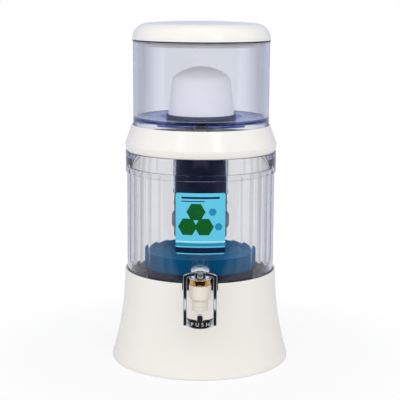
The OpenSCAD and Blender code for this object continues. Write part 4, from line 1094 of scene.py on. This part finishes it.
def floor_finish():
    """Pale floor that keeps the shadow near the object and runs out to plain white. In mirrors it is
    dark ahead of the tap, but for a narrow band, and through clear plastic it darkens sideways."""
    material, tree, shader = new_material("pale_floor")
    feed(tree, shader, {
        "Base Color": (0.93, 0.93, 0.935, 1), "Roughness": 0.6, "Specular IOR Level": 0.2})
    where, axes = surface_place(tree)
    seen, mirrored, through = seen_and_mirrored(tree)
    aside = calc(tree, "ABSOLUTE", axes["X"])
    ahead = ramp(tree, calc(tree, "MULTIPLY_ADD", aside, 0.3, axes["Y"]), -0.3, -0.36)
    off_band = calc(tree, "ABSOLUTE", calc(tree, "ADD", axes["Y"], BAND_AHEAD))
    past_band = calc(tree, "MAXIMUM", ramp(tree, off_band, 0.033, 0.046), ramp(tree, aside, 0.1, 0.16))
    dark_share = calc(tree, "MULTIPLY", mirrored, calc(tree, "MULTIPLY", ahead, past_band))
    far = add_node(tree, "VectorMath", {0: where}, operation="LENGTH").outputs["Value"]
    white_share = calc(tree, "MULTIPLY", seen, ramp(tree, far, 0.14, 0.5, 0.75, 1.0, "SMOOTHSTEP"))
    bearing = calc(tree, "DIVIDE", aside, calc(tree, "ADD", axes["Y"], -CAMERA_PLACE[1]))
    dusk = ramp(tree, bearing, 0.055, 0.12, 0.0, -0.4)
    glow = add_node(tree, "Emission", {"Strength": calc(tree, "MULTIPLY_ADD", dusk, through, 1.0)})
    dark = add_node(tree, "Emission", {"Strength": 0.02})
    look = either(tree, dark_share, either(tree, white_share, shader, glow), dark)
    feed(tree, tree.nodes["Material Output"], {"Surface": look.outputs[0]})
    return material


floor_mesh = bpy.data.meshes.new("floor")
floor_mesh.from_pydata([(-60, -60, 0), (60, -60, 0), (60, 60, 0), (-60, 60, 0)], [], [(0, 1, 2, 3)])
floor_mesh.materials.append(floor_finish())
shown("floor", floor_mesh)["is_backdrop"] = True

# The surroundings are plain white where they are seen. Mirrored, they are dark in front of the
# filter and hazed blue behind it, and where they only give light they are an even pale sky.
world = bpy.data.worlds.new("studio")
world.use_nodes = True
bpy.context.scene.world = world
tree = world.node_tree
axes = surface_place(tree, "Generated")[1]
sky = feed(tree, tree.nodes["Background"], {"Color": (0.96, 0.98, 1.0, 1), "Strength": SKY_STRENGTH})
white = add_node(tree, "Background", {"Color": (1, 1, 1, 1), "Strength": 1.0})
haze = add_node(tree, "ValToRGB", {"Fac": ramp(tree, axes["Y"], -1.0, 1.0)})
stops = haze.color_ramp.elements
stops[0].position = 0.53
stops[0].color = (1, 1, 1, 1)
stops[1].color = (0.52, 0.57, 0.82, 1)
for spot in (0.6, 0.9):
    stops.new(spot).color = (0.48, 0.51, 0.7, 1)
dusk = ramp(tree, axes["Y"], -0.75, 0.05, 0.04, 0.95)
studio = add_node(tree, "Background", {"Color": haze.outputs["Color"], "Strength": dusk})
seen, mirrored = seen_and_mirrored(tree)[:2]
surroundings = either(tree, seen, either(tree, mirrored, sky, studio), white)
feed(tree, tree.nodes["World Output"], {"Surface": surroundings.outputs[0]})


def lamp(name, kind, place_m, aim_m, energy):
    """A lamp turned towards a point."""
    light = shown(name, bpy.data.lights.new(name, kind))
    light.data.energy = energy
    light.location = place_m
    light.rotation_euler = (Vector(aim_m) - Vector(place_m)).to_track_quat("-Z", "Y").to_euler()
    return light


for name, place_m, energy, spread in (
        ("key", (0.5, -0.9, 2.6), 0.5, 60), ("fill", (-0.7, -1.6, 1.1), 0.6, 80)):
    soft = lamp(name, "SUN", place_m, (0, 0, 0.25), energy)
    soft.data.angle = math.radians(spread)
    soft.visible_glossy = False
for name, place_m, energy in (
        ("strip_left", (-0.75, -1.1, 1.35), 1.8), ("strip_right", (0.6, -1.2, 1.35), 3.2)):
    strip = lamp(name, "AREA", place_m, (0, -0.1, 1.35), energy)
    strip.data.shape = "RECTANGLE"
    strip.data.size = 0.3
    strip.data.size_y = 1.3

camera = shown("camera", bpy.data.cameras.new("camera"))
camera.data.sensor_width = 36.0
camera.data.lens = CAMERA_LENS
camera.data.clip_end = 200.0
pitch = Matrix.Rotation(math.radians(90 - CAMERA_DOWN), 4, "X")
roll = Matrix.Rotation(math.radians(CAMERA_ROLL), 4, "Z")
camera.matrix_world = Matrix.Translation(CAMERA_PLACE) @ pitch @ roll
bpy.context.scene.camera = camera
bpy.context.scene.view_settings.view_transform = "Standard"
bpy.context.scene.cycles.max_bounces = BOUNCES
bpy.context.scene.cycles.transmission_bounces = BOUNCES
bpy.context.scene.cycles.glossy_bounces = 8

low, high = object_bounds()
